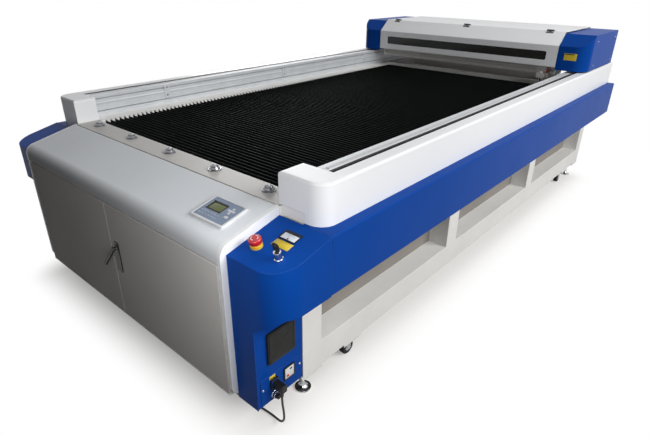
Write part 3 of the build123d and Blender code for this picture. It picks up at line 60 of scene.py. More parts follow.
# Power cord: a round black sheath that drops from the inlet plug to the floor and runs under
# the cabinet, where the spare length is wound into a flat coil that ends in the mains plug.
door_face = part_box("left_door")[0].y
cord_radius = 0.004
cord_lie = 0.0046
cord_route = [
    (0.856, 0.098, 0.157), (0.856, 0.098, 0.127), (0.861, 0.0995, 0.085), (0.858, 0.103, 0.043),
    (0.834, 0.108, 0.012), (0.792, 0.114, 0.005), (0.742, 0.1125, cord_lie), (0.690, 0.104, cord_lie),
    (0.640, 0.0982, cord_lie), (0.5915, 0.097, cord_lie),
]
coil_centre = (0.560, 0.150)
coil_middle = 0.045
coil_step = 0.0082
coil_level = 0.0129
turn_points = 16
# Each turn's place in the coil's section: ring from the middle outwards, layer from the floor up.
coil_turns = [(1, 0), (0, 0), (-1, 0), (-1, 1), (-1, 2), (0, 2), (0, 1), (1, 1)]
for number in range(len(coil_turns) * turn_points + 1):
    turn, step = divmod(number, turn_points)
    ring, layer = coil_turns[min(turn, len(coil_turns) - 1)]
    next_ring, next_layer = coil_turns[min(turn + 1, len(coil_turns) - 1)]
    change = max(0.0, 2 * step / turn_points - 1)
    reach = coil_middle + coil_step * (ring + change * (next_ring - ring))
    height = cord_lie + coil_step * (layer + change * (next_layer - layer))
    angle = -pi / 2 - 2 * pi * step / turn_points
    cord_route.append((coil_centre[0] + reach * cos(angle), coil_centre[1] + reach * sin(angle), height))
cord_route += [(0.543, 0.0972, coil_level), (0.524, 0.0975, 0.013)]
cord_curve = bpy.data.curves.new("power_cord_sheath", "CURVE")
cord_curve.dimensions = "3D"
cord_curve.bevel_depth = cord_radius
cord_curve.bevel_resolution = 5
cord_spline = cord_curve.splines.new("NURBS")
cord_spline.points.add(len(cord_route) - 1)
for point, (x, y, z) in zip(cord_spline.points, cord_route):
    point.co = (x, door_face + y, z, 1.0)
cord_spline.order_u = 3
cord_spline.use_endpoint_u = True
cord = bpy.data.objects.new("power_cord_sheath", cord_curve)
bpy.context.scene.collection.objects.link(cord)


def add_node(tree, kind, settings=None, sockets=None):
    """A node of that kind with its settings and socket values."""
    made = tree.nodes.new(kind)
    for name, value in (settings or {}).items():
        setattr(made, name, value)
    for name, value in (sockets or {}).items():
        made.inputs[name].default_value = value
    return made


def join(tree, links):
    """Links each output to its input."""
    for source, target in links:
        tree.links.new(source, target)


def new_finish(name, sockets):
    """A material with one surface shader and its plain values, and that shader."""
    finish = bpy.data.materials.new(name)
    finish.use_nodes = True
    surface = finish.node_tree.nodes["Principled BSDF"]
    for socket, value in sockets.items():
        surface.inputs[socket].default_value = value
    return finish, surface


def new_group(name, inputs, outputs):
    """An empty shader node group with its sockets, and its two end nodes."""
    group = bpy.data.node_groups.new(name, "ShaderNodeTree")
    for names, side in ((inputs, "INPUT"), (outputs, "OUTPUT")):
        for socket, kind in names.items():
            group.interface.new_socket(socket, in_out=side, socket_type="NodeSocket" + kind)
    return group, add_node(group, "NodeGroupInput"), add_node(group, "NodeGroupOutput")


# Moulded skin, for rubber, sheath and plastic: a fine grain in the tool's surface, with handled
# patches that shine a little more than the rest.
moulded, given, result = new_group(
    "moulded_skin", {"Colour": "Color", "Gloss": "Float", "Grain": "Float", "Relief": "Float"},
    {"Colour": "Color", "Roughness": "Float", "Normal": "Vector"})
place = add_node(moulded, "ShaderNodeTexCoord")
patch = add_node(moulded, "ShaderNodeTexNoise", sockets={"Scale": 22.0, "Detail": 4.0})
grain = add_node(moulded, "ShaderNodeTexNoise", sockets={"Detail": 2.0})
round_edge = add_node(moulded, "ShaderNodeBevel", {"samples": 4}, {"Radius": 0.0012})
relief = add_node(moulded, "ShaderNodeBump", sockets={"Distance": 0.0004})
handled = add_node(moulded, "ShaderNodeMix", {"data_type": "RGBA", "blend_type": "MULTIPLY"})
handled.inputs["B"].default_value = (0.72, 0.72, 0.73, 1)
shine = add_node(moulded, "ShaderNodeMath", {"operation": "MULTIPLY_ADD"}, {1: 0.16})
join(moulded, [
    (place.outputs["Object"], patch.inputs["Vector"]), (place.outputs["Object"], grain.inputs["Vector"]),
    (given.outputs["Grain"], grain.inputs["Scale"]), (grain.outputs["Fac"], relief.inputs["Height"]),
    (given.outputs["Relief"], relief.inputs["Strength"]),
    (round_edge.outputs["Normal"], relief.inputs["Normal"]),
    (relief.outputs["Normal"], result.inputs["Normal"]), (patch.outputs["Fac"], handled.inputs["Factor"]),
    (given.outputs["Colour"], handled.inputs["A"]), (handled.outputs["Result"], result.inputs["Colour"]),
    (patch.outputs["Fac"], shine.inputs[0]), (given.outputs["Gloss"], shine.inputs[2]),
    (shine.outputs["Value"], result.inputs["Roughness"]),
])


def skinned(name, group, values, sockets=None):
    """A finish whose colour, roughness and normal come from a skin group with its own values."""
    finish, surface = new_finish(name, sockets or {})
    skin = add_node(finish.node_tree, "ShaderNodeGroup", {"node_tree": group}, values)
    join(finish.node_tree, [(skin.outputs[source], surface.inputs[target]) for source, target in (
        ("Colour", "Base Color"), ("Roughness", "Roughness"), ("Normal", "Normal"))])
    return finish


def moulding(name, colour, gloss, grain_scale, relief_height, sockets=None):
    """A moulded plastic, rubber or milky glass with its own colour, gloss and grain."""
    return skinned(name, moulded, {"Colour": (*colour, 1), "Gloss": gloss, "Grain": grain_scale,
                                   "Relief": relief_height}, sockets)


sheath = moulding("cord_sheath", (0.013, 0.013, 0.014), 0.42, 800.0, 0.25)
cord_curve.materials.append(sheath)
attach(cord, "machine_base")
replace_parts(cord, "power_cord", "cord_coil")


def dress(finish, *names):
    """Gives CAD pieces their finish."""
    for name in names:
        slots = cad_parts[name].data.materials
        slots.clear()
        slots.append(finish)


black_moulding = moulding("black_moulding", (0.010, 0.0105, 0.010), 0.42, 900.0, 0.3,
                          {"Specular IOR Level": 0.22})
dress(black_moulding, "plug")

# Coil tie: a soft black strap round the coil's section, closed on itself.
# It keeps the put-away turns together.
weld_gap = 0.000002
sharp_bend = radians(32)


def add_piece(build, name, finishes, body):
    """Turns a bmesh into a piece at the origin that rides on a body. Sharp bends keep a hard edge."""
    bmesh.ops.remove_doubles(build, verts=build.verts[:], dist=weld_gap)
    bmesh.ops.recalc_face_normals(build, faces=build.faces[:])
    for face in build.faces:
        face.smooth = True
    for edge in build.edges:
        edge.smooth = len(edge.link_faces) == 2 and edge.calc_face_angle() < sharp_bend
    mesh = bpy.data.meshes.new(name)
    build.to_mesh(mesh)
    build.free()
    for finish in finishes:
        mesh.materials.append(finish)
    piece = bpy.data.objects.new(name, mesh)
    bpy.context.scene.collection.objects.link(piece)
    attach(piece, body)
    return piece


def settle(build, old_faces, place, finish):
    """Puts the faces made since the old ones in their place and gives them their finish."""
    faces = [face for face in build.faces if face not in old_faces]
    bmesh.ops.transform(build, matrix=place,
                        verts=list({corner for face in faces for corner in face.verts}))
    for face in faces:
        face.material_index = finish


def slab(build, size, place, edge, steps=2, finish=0):
    """A block of that size about its middle with rounded edges, set by a placing matrix."""
    old_faces = set(build.faces)
    corners = bmesh.ops.create_cube(build, size=1.0)["verts"]
    bmesh.ops.scale(build, vec=size, verts=corners)
    edges = list({line for corner in corners for line in corner.link_edges})
    bmesh.ops.bevel(build, geom=edges, offset=edge, offset_type="OFFSET", segments=steps, profile=0.5,
                    affect="EDGES", material=-1)
    settle(build, old_faces, place, finish)


def turned(build, outline, place, steps=32, finish=0):
    """A turned form from its half outline (radius, height), set by a placing matrix."""
    old_faces = set(build.faces)
    chain = [build.verts.new((radius, 0.0, height)) for radius, height in outline]
    lines = [build.edges.new(pair) for pair in zip(chain, chain[1:])]
    bmesh.ops.spin(build, geom=chain + lines, cent=(0, 0, 0), axis=(0, 0, 1), angle=2 * pi, steps=steps,
                   use_merge=True)
    settle(build, old_faces, place, finish)


def spot(x, y, z):
    """A place in metres, with Y counted from the door face."""
    return Matrix.Translation((x, door_face + y, z))


def thicken(build, faces, depth):
    """Gives a flat sheet its thickness along a direction."""
    raised = bmesh.ops.extrude_face_region(build, geom=faces)["geom"]
    corners = [part for part in raised if isinstance(part, bmesh.types.BMVert)]
    bmesh.ops.translate(build, vec=depth, verts=corners)


def rim(build, width, height, corner, wall_width, depth, place, finish=0, corner_steps=4):
    """A flat ring with rounded corners and square section, standing on its placing plane."""
    old_faces = set(build.faces)
    outline = bmesh.ops.create_grid(build, x_segments=1, y_segments=1, size=0.5)["verts"]
    bmesh.ops.scale(build, vec=(width, height, 1.0), verts=outline)
    bmesh.ops.bevel(build, geom=outline, offset=corner, offset_type="OFFSET", segments=corner_steps,
                    profile=0.5, affect="VERTICES", material=-1)
    sheet = [face for face in build.faces if face not in old_faces]
    bmesh.ops.inset_individual(build, faces=sheet, thickness=wall_width)
    ring = [face for face in build.faces if face not in old_faces]
    middle = max(ring, key=lambda face: len(face.verts))
    bmesh.ops.delete(build, geom=[middle], context="FACES_ONLY")
    ring = [face for face in build.faces if face not in old_faces]
    thicken(build, ring, (0, 0, depth))
    settle(build, old_faces, place, finish)


build = bmesh.new()
tie_place = spot(coil_centre[0] - coil_middle, coil_centre[1], coil_level) @ Matrix.Rotation(pi / 2, 4, "X")
rim(build, 0.0272, 0.0252, corner=0.006, wall_width=0.0004, depth=0.010, place=tie_place, corner_steps=5)
add_piece(build, "coil_tie", [sheath], "machine_base")

# Steel frame: square tubes welded into a trestle and sprayed cream, with thin panels behind the
# posts. The sprayed skin has a fine peel, dulls in patches and turns pale along its corners,
# partly wear and partly a painted highlight on the edges.
coat, given, result = new_group(
    "sprayed_coat", {"Colour": "Color", "Gloss": "Float", "Peel": "Float", "Mottle": "Float",
                     "Edge": "Float"},
    {"Colour": "Color", "Roughness": "Float", "Normal": "Vector"})
place = add_node(coat, "ShaderNodeTexCoord")
cloud = add_node(coat, "ShaderNodeTexNoise", sockets={"Scale": 3.0, "Detail": 5.0, "Roughness": 0.62})
peel = add_node(coat, "ShaderNodeTexNoise", sockets={"Scale": 230.0, "Detail": 2.0})
scuff = add_node(coat, "ShaderNodeTexNoise", sockets={"Scale": 45.0, "Detail": 6.0, "Roughness": 0.7})
round_edge = add_node(coat, "ShaderNodeBevel", {"samples": 4}, {"Radius": 0.003})
relief = add_node(coat, "ShaderNodeBump", sockets={"Distance": 0.0005})
# Pale corners, where the rounded normal leaves the true one and broken by scuffs: worn paint and a painted
# highlight along the edges.
true_face = add_node(coat, "ShaderNodeNewGeometry")
corner = add_node(coat, "ShaderNodeVectorMath", {"operation": "DOT_PRODUCT"})
corner_wear_highlight_mask = add_node(coat, "ShaderNodeMapRange",
                       sockets={"From Min": 0.995, "From Max": 0.8, "To Min": 0.0})
wear_and_highlight = add_node(coat, "ShaderNodeMath", {"operation": "MULTIPLY"})
cloud_mask = add_node(coat, "ShaderNodeMapRange",
                      sockets={"From Min": 0.35, "From Max": 0.7, "To Min": 0.0})
dull = add_node(coat, "ShaderNodeMix", {"data_type": "RGBA", "blend_type": "MULTIPLY"})
dull.inputs["B"].default_value = (0.80, 0.81, 0.83, 1)
pale = add_node(coat, "ShaderNodeMix", {"data_type": "RGBA", "blend_type": "SCREEN"})
pale.inputs["B"].default_value = (0.30, 0.30, 0.30, 1)
spread = add_node(coat, "ShaderNodeMath", {"operation": "MULTIPLY_ADD"}, {1: 0.13})
join(coat, [
    (place.outputs["Object"], cloud.inputs["Vector"]), (place.outputs["Object"], peel.inputs["Vector"]),
    (place.outputs["Object"], scuff.inputs["Vector"]), (peel.outputs["Fac"], relief.inputs["Height"]),
    (given.outputs["Peel"], relief.inputs["Strength"]),
    (round_edge.outputs["Normal"], relief.inputs["Normal"]),
    (relief.outputs["Normal"], result.inputs["Normal"]), (round_edge.outputs["Normal"], corner.inputs[0]),
    (true_face.outputs["True Normal"], corner.inputs[1]),
    (corner.outputs["Value"], corner_wear_highlight_mask.inputs["Value"]),
    (given.outputs["Edge"], corner_wear_highlight_mask.inputs["To Max"]), (corner_wear_highlight_mask.outputs["Result"], wear_and_highlight.inputs[0]),
    (scuff.outputs["Fac"], wear_and_highlight.inputs[1]), (cloud.outputs["Fac"], cloud_mask.inputs["Value"]),
    (given.outputs["Mottle"], cloud_mask.inputs["To Max"]),
    (cloud_mask.outputs["Result"], dull.inputs["Factor"]),
    (given.outputs["Colour"], dull.inputs["A"]), (wear_and_highlight.outputs["Value"], pale.inputs["Factor"]),
    (dull.outputs["Result"], pale.inputs["A"]), (pale.outputs["Result"], result.inputs["Colour"]),
    (cloud.outputs["Fac"], spread.inputs[0]), (given.outputs["Gloss"], spread.inputs[2]),
    (spread.outputs["Value"], result.inputs["Roughness"]),
])


def sprayed(name, colour, gloss, peel_height, mottle, edge, sockets=None):
    """A paint that uses the sprayed skin with its own colour and values."""
    return skinned(name, coat, {"Colour": (*colour, 1), "Gloss": gloss, "Peel": peel_height,
                                "Mottle": mottle, "Edge": edge}, sockets)


cream = sprayed("cream_frame_paint", (0.78, 0.77, 0.74), 0.36, 0.10, 0.45, 0.5)
dress(cream, "base_frame", "rear_bar", "slat_combs")
# The inner panels take a dark copy of the frame's cream: painted shade for their place behind the posts,
# under the bed.
cream_in_painted_shade = sprayed("cream_panel_painted_shade", (0.26, 0.24, 0.215), 0.5, 0.10, 0.6, 0.2,
                       {"Specular IOR Level": 0.2})
dress(cream_in_painted_shade, "inner_panels")

# Levelling feet and casters: turned and plated bells on screwed stems, pressed and zinc-plated
# forks, and black rubber wheels with a plated hub disc riveted on each side.
plated, given, result = new_group(
    "worked_metal", {"Colour": "Color", "Gloss": "Float", "Stretch": "Vector", "Depth": "Float"},
    {"Colour": "Color", "Roughness": "Float", "Normal": "Vector"})
place = add_node(plated, "ShaderNodeTexCoord")
pull = add_node(plated, "ShaderNodeVectorMath", {"operation": "MULTIPLY"})
lines = add_node(plated, "ShaderNodeTexNoise", sockets={"Scale": 1.0, "Detail": 4.0, "Roughness": 0.65})
tarnish = add_node(plated, "ShaderNodeTexNoise", sockets={"Scale": 14.0, "Detail": 5.0})
both = add_node(plated, "ShaderNodeMath", {"operation": "MULTIPLY"})
tone = add_node(plated, "ShaderNodeMix", {"data_type": "RGBA", "blend_type": "MULTIPLY"})
tone.inputs["B"].default_value = (0.50, 0.51, 0.53, 1)
spread = add_node(plated, "ShaderNodeMath", {"operation": "MULTIPLY_ADD"}, {1: 0.16})
round_edge = add_node(plated, "ShaderNodeBevel", {"samples": 4}, {"Radius": 0.0015})
relief = add_node(plated, "ShaderNodeBump", sockets={"Distance": 0.0003})
join(plated, [
    (place.outputs["Object"], pull.inputs[0]), (given.outputs["Stretch"], pull.inputs[1]),
    (pull.outputs["Vector"], lines.inputs["Vector"]), (place.outputs["Object"], tarnish.inputs["Vector"]),
    (lines.outputs["Fac"], both.inputs[0]), (tarnish.outputs["Fac"], both.inputs[1]),
    (both.outputs["Value"], tone.inputs["Factor"]), (given.outputs["Colour"], tone.inputs["A"]),
    (tone.outputs["Result"], result.inputs["Colour"]), (lines.outputs["Fac"], spread.inputs[0]),
    (given.outputs["Gloss"], spread.inputs[2]), (spread.outputs["Value"], result.inputs["Roughness"]),
    (lines.outputs["Fac"], relief.inputs["Height"]), (given.outputs["Depth"], relief.inputs["Strength"]),
    (round_edge.outputs["Normal"], relief.inputs["Normal"]),
    (relief.outputs["Normal"], result.inputs["Normal"]),
])


def metal(name, colour, gloss, stretch, depth, bare=1.0):
    """A metal with tool lines pulled along one direction. An oxide skin leaves less of it bare."""
    return skinned(name, plated, {"Colour": (*colour, 1), "Gloss": gloss, "Stretch": stretch,
                                  "Depth": depth}, {"Metallic": bare})


bright = metal("plated_steel", (0.50, 0.51, 0.53), 0.10, (90, 90, 900), 0.05)
dress(bright, "levelling_feet")
pressed = metal("pressed_zinc", (0.46, 0.47, 0.48), 0.28, (300, 300, 300), 0.10)
rubber = moulding("wheel_rubber", (0.012, 0.012, 0.013), 0.5, 500.0, 0.4, {"Specular IOR Level": 0.15})
for corner_name in ("front_left", "front_right", "rear_left", "rear_right"):
    dress(pressed, corner_name + "_caster_fork")
    dress(rubber, corner_name + "_caster_wheel")
    low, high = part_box(corner_name + "_caster_wheel")
    build = bmesh.new()
    for side in (-1, 1):
        axle = Matrix.Translation((low + high) / 2) @ Matrix.Rotation(side * pi / 2, 4, "Y")
        turned(build, [(0, 0.0142), (0.0055, 0.0142), (0.0065, 0.0135), (0.0150, 0.0135),
                       (0.0175, 0.0129), (0.0175, 0.0120), (0, 0.0120)], axle)
    add_piece(build, corner_name + "_hub_discs", [bright], corner_name + "_wheel")

# Front cabinet: sheet folded and sprayed light grey with a slightly coarse skin, between two
# glossier white end plates. The doors are folded pans. They and the shell take a warmer copy of the
# hood's grey, and that warmth is painted shade for the shaded front.
grey = sprayed("cabinet_grey_paint", (0.745, 0.77, 0.80), 0.44, 0.16, 0.25, 0.3,
               {"Specular IOR Level": 0.02})
dress(grey, "cabinet_hood")
# The warmer tint is painted shade: the same grey as the hood, toned as if in the front's shadow.
grey_in_painted_shade = sprayed("door_grey_painted_warm_shade", (0.77, 0.745, 0.72), 0.44, 0.16, 0.25, 0.3,
                    {"Specular IOR Level": 0.02})
dress(grey_in_painted_shade, "cabinet_shell", "left_door", "right_door")
white = sprayed("gloss_white_paint", (0.80, 0.807, 0.82), 0.30, 0.06, 0.12, 0.3,
                {"Specular IOR Level": 0.2})
dress(white, "side_plates")
box_grey = sprayed("box_grey_paint", (0.30, 0.32, 0.34), 0.45, 0.2, 0.3, 0.5)
dress(box_grey, "control_boxes")

# Door lock: a cast pop-out lever with a black coat whose edges carry a painted highlight, on a
# turning spindle and a moulded black back plate. The lever stands out, ready to be turned.
# Its strong Edge value paints a pale highlight line along the lever's edges.
lock_black = sprayed("lock_black_painted_highlight", (0.020, 0.020, 0.019), 0.26, 0.08, 0.3, 2.6,
                     {"Specular IOR Level": 0.3})
dress(lock_black, "lock_spindle", "lock_lever")
dress(black_moulding, "lock_plate")

# Control panel: a pale moulded frame screwed to the hood's slope. A printed membrane with raised
# keys lies in its shallow recess, and a green display sits deeper behind a black mask.
panel_plastic = moulding("panel_frame_plastic", (0.76, 0.77, 0.78), 0.34, 700.0, 0.12)
dress(panel_plastic, "control_panel")
hood_rise = 0.059
hood_depth = 0.247
hood_slope = hood_rise / hood_depth
slope_turn = Matrix.Rotation(atan2(hood_rise, hood_depth), 4, "X")
hood_front_top = 0.716
panel_y = 0.124
panel_place = spot(0.566, panel_y, hood_front_top + hood_slope * panel_y) @ slope_turn
window_x = -0.023
window_y = 0.012
membrane = moulding("membrane_blue", (0.195, 0.25, 0.355), 0.36, 1200.0, 0.15)
key_pale = moulding("membrane_pale", (0.58, 0.61, 0.65), 0.36, 1200.0, 0.15)
key_dim = moulding("membrane_dim", (0.26, 0.32, 0.43), 0.36, 1200.0, 0.15)
membrane_thickness = 0.0004
build = bmesh.new()
field = bmesh.ops.create_grid(build, x_segments=1, y_segments=1, size=0.5)["verts"]
bmesh.ops.scale(build, vec=(0.1476, 0.1026, 1.0), verts=field)
bmesh.ops.bevel(build, geom=field, offset=0.0055, offset_type="OFFSET", segments=4, profile=0.5,
                affect="VERTICES", material=-1)
for cut, normal in (((-0.0612, 0, 0), (1, 0, 0)), ((0.0152, 0, 0), (1, 0, 0)), ((0, -0.0112, 0), (0, 1, 0)),
                    ((0, 0.0352, 0), (0, 1, 0))):
    bmesh.ops.bisect_plane(build, geom=build.verts[:] + build.edges[:] + build.faces[:], plane_co=cut,
                           plane_no=normal)
window_middle = Vector((window_x, window_y, 0))
window = min(build.faces, key=lambda face: (face.calc_center_median() - window_middle).length)
bmesh.ops.delete(build, geom=[window], context="FACES")
thicken(build, build.faces[:], (0, 0, membrane_thickness))
bmesh.ops.transform(build, matrix=panel_place @ Matrix.Translation((0, 0, 0.0075)), verts=build.verts[:])
key_base = 0.0079
arrow_x = 0.0425
arrow_y = 0.0165
arrow_step = 0.0115
for across, along in ((-arrow_step, 0), (arrow_step, 0), (0, -arrow_step), (0, arrow_step), (0, 0)):
    key_place = panel_place @ Matrix.Translation((arrow_x + across, arrow_y + along, key_base))
    slab(build, (0.0098, 0.0098, 0.0016), key_place, 0.0006, finish=1)
slab(build, (0.017, 0.011, 0.0016), panel_place @ Matrix.Translation((0.050, -0.0145, key_base)), 0.0006,
     finish=1)
first_key_x = -0.058
first_key_y = -0.0235
key_pitch_x = 0.0158
key_pitch_y = 0.0135
for row in range(2):
    for column in range(6):
        key_x = first_key_x + key_pitch_x * column
        key_y = first_key_y - key_pitch_y * row
        slab(build, (0.0112, 0.0082, 0.0012), panel_place @ Matrix.Translation((key_x, key_y, key_base)),
             0.0005, finish=2)
add_piece(build, "panel_membrane", [membrane, key_pale, key_dim], "machine_base")
screen, surface = new_finish("display_green", {"Roughness": 0.22})
tree = screen.node_tree
place = add_node(tree, "ShaderNodeTexCoord")
dots = add_node(tree, "ShaderNodeTexChecker", sockets={"Scale": 900.0, "Color1": (0.088, 0.118, 0.016, 1)})
dots.inputs["Color2"].default_value = (0.102, 0.136, 0.020, 1)
haze = add_node(tree, "ShaderNodeTexNoise", sockets={"Scale": 40.0, "Detail": 2.0})
shade = add_node(tree, "ShaderNodeMix", {"data_type": "RGBA", "blend_type": "MULTIPLY"})
shade.inputs["B"].default_value = (0.7, 0.7, 0.65, 1)
join(tree, [
    (place.outputs["Object"], dots.inputs["Vector"]), (place.outputs["Object"], haze.inputs["Vector"]),
    (dots.outputs["Color"], shade.inputs["A"]), (haze.outputs["Fac"], shade.inputs["Factor"]),
    (shade.outputs["Result"], surface.inputs["Base Color"]),
])
build = bmesh.new()
screen_place = panel_place @ Matrix.Translation((window_x, window_y, 0.0051))
rim(build, 0.0756, 0.0456, corner=0.0015, wall_width=0.0062, depth=0.0022, place=screen_place)
slab(build, (0.0640, 0.0340, 0.0012), screen_place @ Matrix.Translation((0, 0, 0.0006)), 0.0003, finish=1)
add_piece(build, "panel_display", [black_moulding, screen], "machine_base")

# Blue covers: the console, corner cover, long skirts and gantry caps are folded and welded sheet
# under a deep gloss blue, with a fine peel in the paint.
blue = sprayed("gloss_blue_paint", (0.0030, 0.053, 0.295), 0.32, 0.10, 0.25, 0.22,
               {"Specular IOR Level": 0.03})
dress(blue, "right_console_cover", "left_corner_cover", "console_side_panel", "right_skirt", "left_skirt",
      "right_gantry_cap", "left_gantry_cap", "inlet_panel")

# Console top: a red stop button on its yellow ring, a key switch, and a small panel meter in a
# black frame above a plain yellow plate. All of them sit in holes in the sloping sheet.
stop_red = moulding("stop_button_red", (0.50, 0.010, 0.013), 0.18, 500.0, 0.03, {"Coat Weight": 0.3})
dress(stop_red, "stop_button")
stop_yellow = moulding("stop_ring_yellow", (0.72, 0.43, 0.02), 0.3, 500.0, 0.08)
dress(stop_yellow, "stop_ring")
dress(black_moulding, "key")
barrel = metal("barrel_plating", (0.70, 0.71, 0.72), 0.16, (120, 120, 120), 0.04)
dress(barrel, "key_barrel")
mark_white = moulding("mark_white", (0.78, 0.78, 0.78), 0.4, 900.0, 0.1)
console_back_top = 0.741


def console_top(x, y, rise=0.0):
    """A place on the console's sloping top, turned to stand square on it."""
    height = console_back_top + hood_slope * (y - hood_depth)
    return spot(x, y, height) @ slope_turn @ Matrix.Translation((0, 0, rise))


stop_face = console_top(0.769, 0.100, 0.0334)
mark_place = Matrix.Translation((0.0112, 0, 0)) @ Matrix.Rotation(pi / 2, 4, "X")
build = bmesh.new()
for start in (0, pi):
    old_verts = set(build.verts)
    strip = bmesh.ops.create_grid(build, x_segments=1, y_segments=1, size=0.5)["verts"]
    bmesh.ops.scale(build, vec=(0.0024, 0.0004, 1.0), verts=strip)
    bmesh.ops.transform(build, matrix=mark_place, verts=strip)
    sweep = list({line for corner in strip for line in corner.link_edges} | set(strip[0].link_faces))
    bmesh.ops.spin(build, geom=list(strip) + sweep, cent=(0, 0, 0), axis=(0, 0, 1), angle=radians(115),
                   steps=12)
    made = [vert for vert in build.verts if vert not in old_verts]
    bmesh.ops.transform(build, matrix=stop_face @ Matrix.Rotation(start, 4, "Z"), verts=made)
add_piece(build, "stop_turn_marks", [mark_white], "stop_plunger")
dial = moulding("dial_white", (0.66, 0.70, 0.77), 0.25, 900.0, 0.04, {"Coat Weight": 0.5})
dial_x = 0.8335
build = bmesh.new()
slab(build, (0.066, 0.0405, 0.005), console_top(0.831, 0.1825, 0.0025), 0.0012)
slab(build, (0.0580, 0.0250, 0.0008), console_top(dial_x, 0.1775, 0.0052), 0.0002, finish=1)
for number in range(11):
    tick = Matrix.Rotation(radians(40 - 8 * number), 4, "Z") @ Matrix.Translation((0, 0.026, 0))
    slab(build, (0.0007, 0.0042 if number % 5 == 0 else 0.0026, 0.0003),
         console_top(dial_x, 0.1610, 0.0057) @ tick, 0.0001, steps=1, finish=2)
needle = console_top(dial_x, 0.1665, 0.0059) @ Matrix.Rotation(radians(24), 4, "Z")
slab(build, (0.0006, 0.021, 0.0003), needle @ Matrix.Translation((0, 0.0115, 0)), 0.0001, steps=1, finish=2)
turned(build, [(0, 0.0016), (0.0025, 0.0013), (0.0032, 0.0), (0, 0.0)],
       console_top(dial_x, 0.1685, 0.0055), 16, 2)
add_piece(build, "panel_meter", [black_moulding, dial, black_moulding], "machine_base")
plate_yellow = sprayed("plate_yellow", (0.60, 0.44, 0.02), 0.42, 0.05, 0.5, 0.3)
label_x = 0.8325
label_y = 0.1445
build = bmesh.new()
slab(build, (0.069, 0.0305, 0.0011), console_top(label_x, label_y, 0.0005), 0.0003)
for side in (-1, 1):
    turned(build, [(0, 0.0009), (0.0010, 0.0008), (0.0016, 0.0), (0, -0.0004)],
           console_top(label_x + side * 0.0312, label_y, 0.0011), 12, 1)
add_piece(build, "console_plate", [plate_yellow, bright], "machine_base")

# Cooling fan: a moulded ring guard over fine louvres and a foam pad, on the console's side. A square
# filter cover is clipped over it: a foam sheet behind thin bars, with a rim and crossed ribs.
dress(black_moulding, "fan_guard", "fan_frame", "fan_rotor")
foam = moulding("filter_foam", (0.016, 0.018, 0.014), 0.75, 260.0, 1.0, {"Specular IOR Level": 0.2})
louvre_pitch = 0.0043
louvre_reach = 0.0568
louvre_tilt = Matrix.Rotation(radians(-25), 4, "Y")
bar_pitch = 0.0036
fan_place = spot(0.817, 0.136, 0.351) @ Matrix.Rotation(pi / 2, 4, "Y")
build = bmesh.new()
turned(build, [(0, -0.0005), (0.0560, -0.0005), (0.0562, -0.0015), (0.0560, -0.0025), (0, -0.0025)],
       fan_place, 48, 1)
for number in range(-12, 13):
    rise = louvre_pitch * number
    slab(build, (0.0017, 2 * sqrt(louvre_reach ** 2 - rise ** 2), 0.0030),
         fan_place @ Matrix.Translation((rise, 0, 0.0020)) @ louvre_tilt, 0.0004, steps=1)
slab(build, (0.1110, 0.1110, 0.0006), fan_place @ Matrix.Translation((0, 0, 0.0093)), 0.0002, steps=1,
     finish=1)
for number in range(-15, 16):
    slab(build, (0.0012, 0.1120, 0.0014), fan_place @ Matrix.Translation((bar_pitch * number, 0, 0.0097)),
         0.0003, steps=1)
for corner_turn in (0, 90, 180, 270):
    cover = fan_place @ Matrix.Rotation(radians(corner_turn), 4, "Z")
    slab(build, (0.0034, 0.1150, 0.0026), cover @ Matrix.Translation((0.0558, 0, 0.0102)), 0.0006, steps=1)
    slab(build, (0.0020, 0.0770, 0.0020), cover @ Matrix.Rotation(radians(45), 4, "Z")
         @ Matrix.Translation((0, 0.0385, 0.0101)), 0.0005, steps=1)
add_piece(build, "fan_louvres", [black_moulding, foam], "machine_base")

# Inlet panel: a blue plate held by two screws, with a black power socket, a switch plate in a
# black frame, a small yellow plate and a plated round connector under a black cap.
inlet_turn = Matrix.Rotation(pi / 2, 4, "Z") @ Matrix.Rotation(pi / 2, 4, "X")
inlet_face = 0.819


def inlet(y, z, out=0.0):
    """A place on the inlet panel's face, with across along Y and up along Z."""
    return spot(inlet_face + out, y, z) @ inlet_turn


socket_y = 0.098
socket_z = 0.196
connector_y = 0.098
connector_z = 0.146
build = bmesh.new()
rim(build, 0.0370, 0.0430, corner=0.007, wall_width=0.0032, depth=0.0083, place=inlet(socket_y, socket_z))
turned(build, [(0.0112, 0.0), (0.0150, 0.0), (0.0150, 0.0020), (0.0138, 0.0030), (0.0138, 0.0130),
               (0.0112, 0.0130)], inlet(connector_y, connector_z), 24, 2)
rib_count = 18
for number in range(rib_count):
    rib = inlet(connector_y, connector_z, 0.0078) @ Matrix.Rotation(2 * pi * number / rib_count, 4, "Z")
    slab(build, (0.0012, 0.0011, 0.0080), rib @ Matrix.Translation((0, 0.0138, 0)), 0.0003, steps=1,
         finish=2)
turned(build, [(0, 0.0252), (0.0078, 0.0252), (0.0096, 0.0238), (0.0096, 0.0144), (0.0112, 0.0141),
               (0, 0.0139)], inlet(connector_y, connector_z), 24)
slab(build, (0.027, 0.0145, 0.0008), inlet(0.091, 0.2255, 0.0004), 0.0002, finish=1)
add_piece(build, "inlet_fittings", [black_moulding, plate_yellow, bright], "machine_base")
switch_y = 0.1695
switch_z = 0.197
build = bmesh.new()
rim(build, 0.052, 0.055, corner=0.003, wall_width=0.0045, depth=0.0045, place=inlet(switch_y, switch_z))
slab(build, (0.0440, 0.0470, 0.0032), inlet(switch_y, switch_z, 0.0016), 0.0006, finish=1)
turned(build, [(0, 0.0075), (0.0030, 0.0073), (0.0046, 0.0060), (0.0050, 0.0030), (0, 0.0030)],
       inlet(0.1605, 0.1855), 20, 2)
slab(build, (0.0105, 0.0065, 0.0016), inlet(0.1770, 0.2080, 0.0036), 0.0005)
add_piece(build, "switch_plate", [black_moulding, mark_white, stop_red], "machine_base")


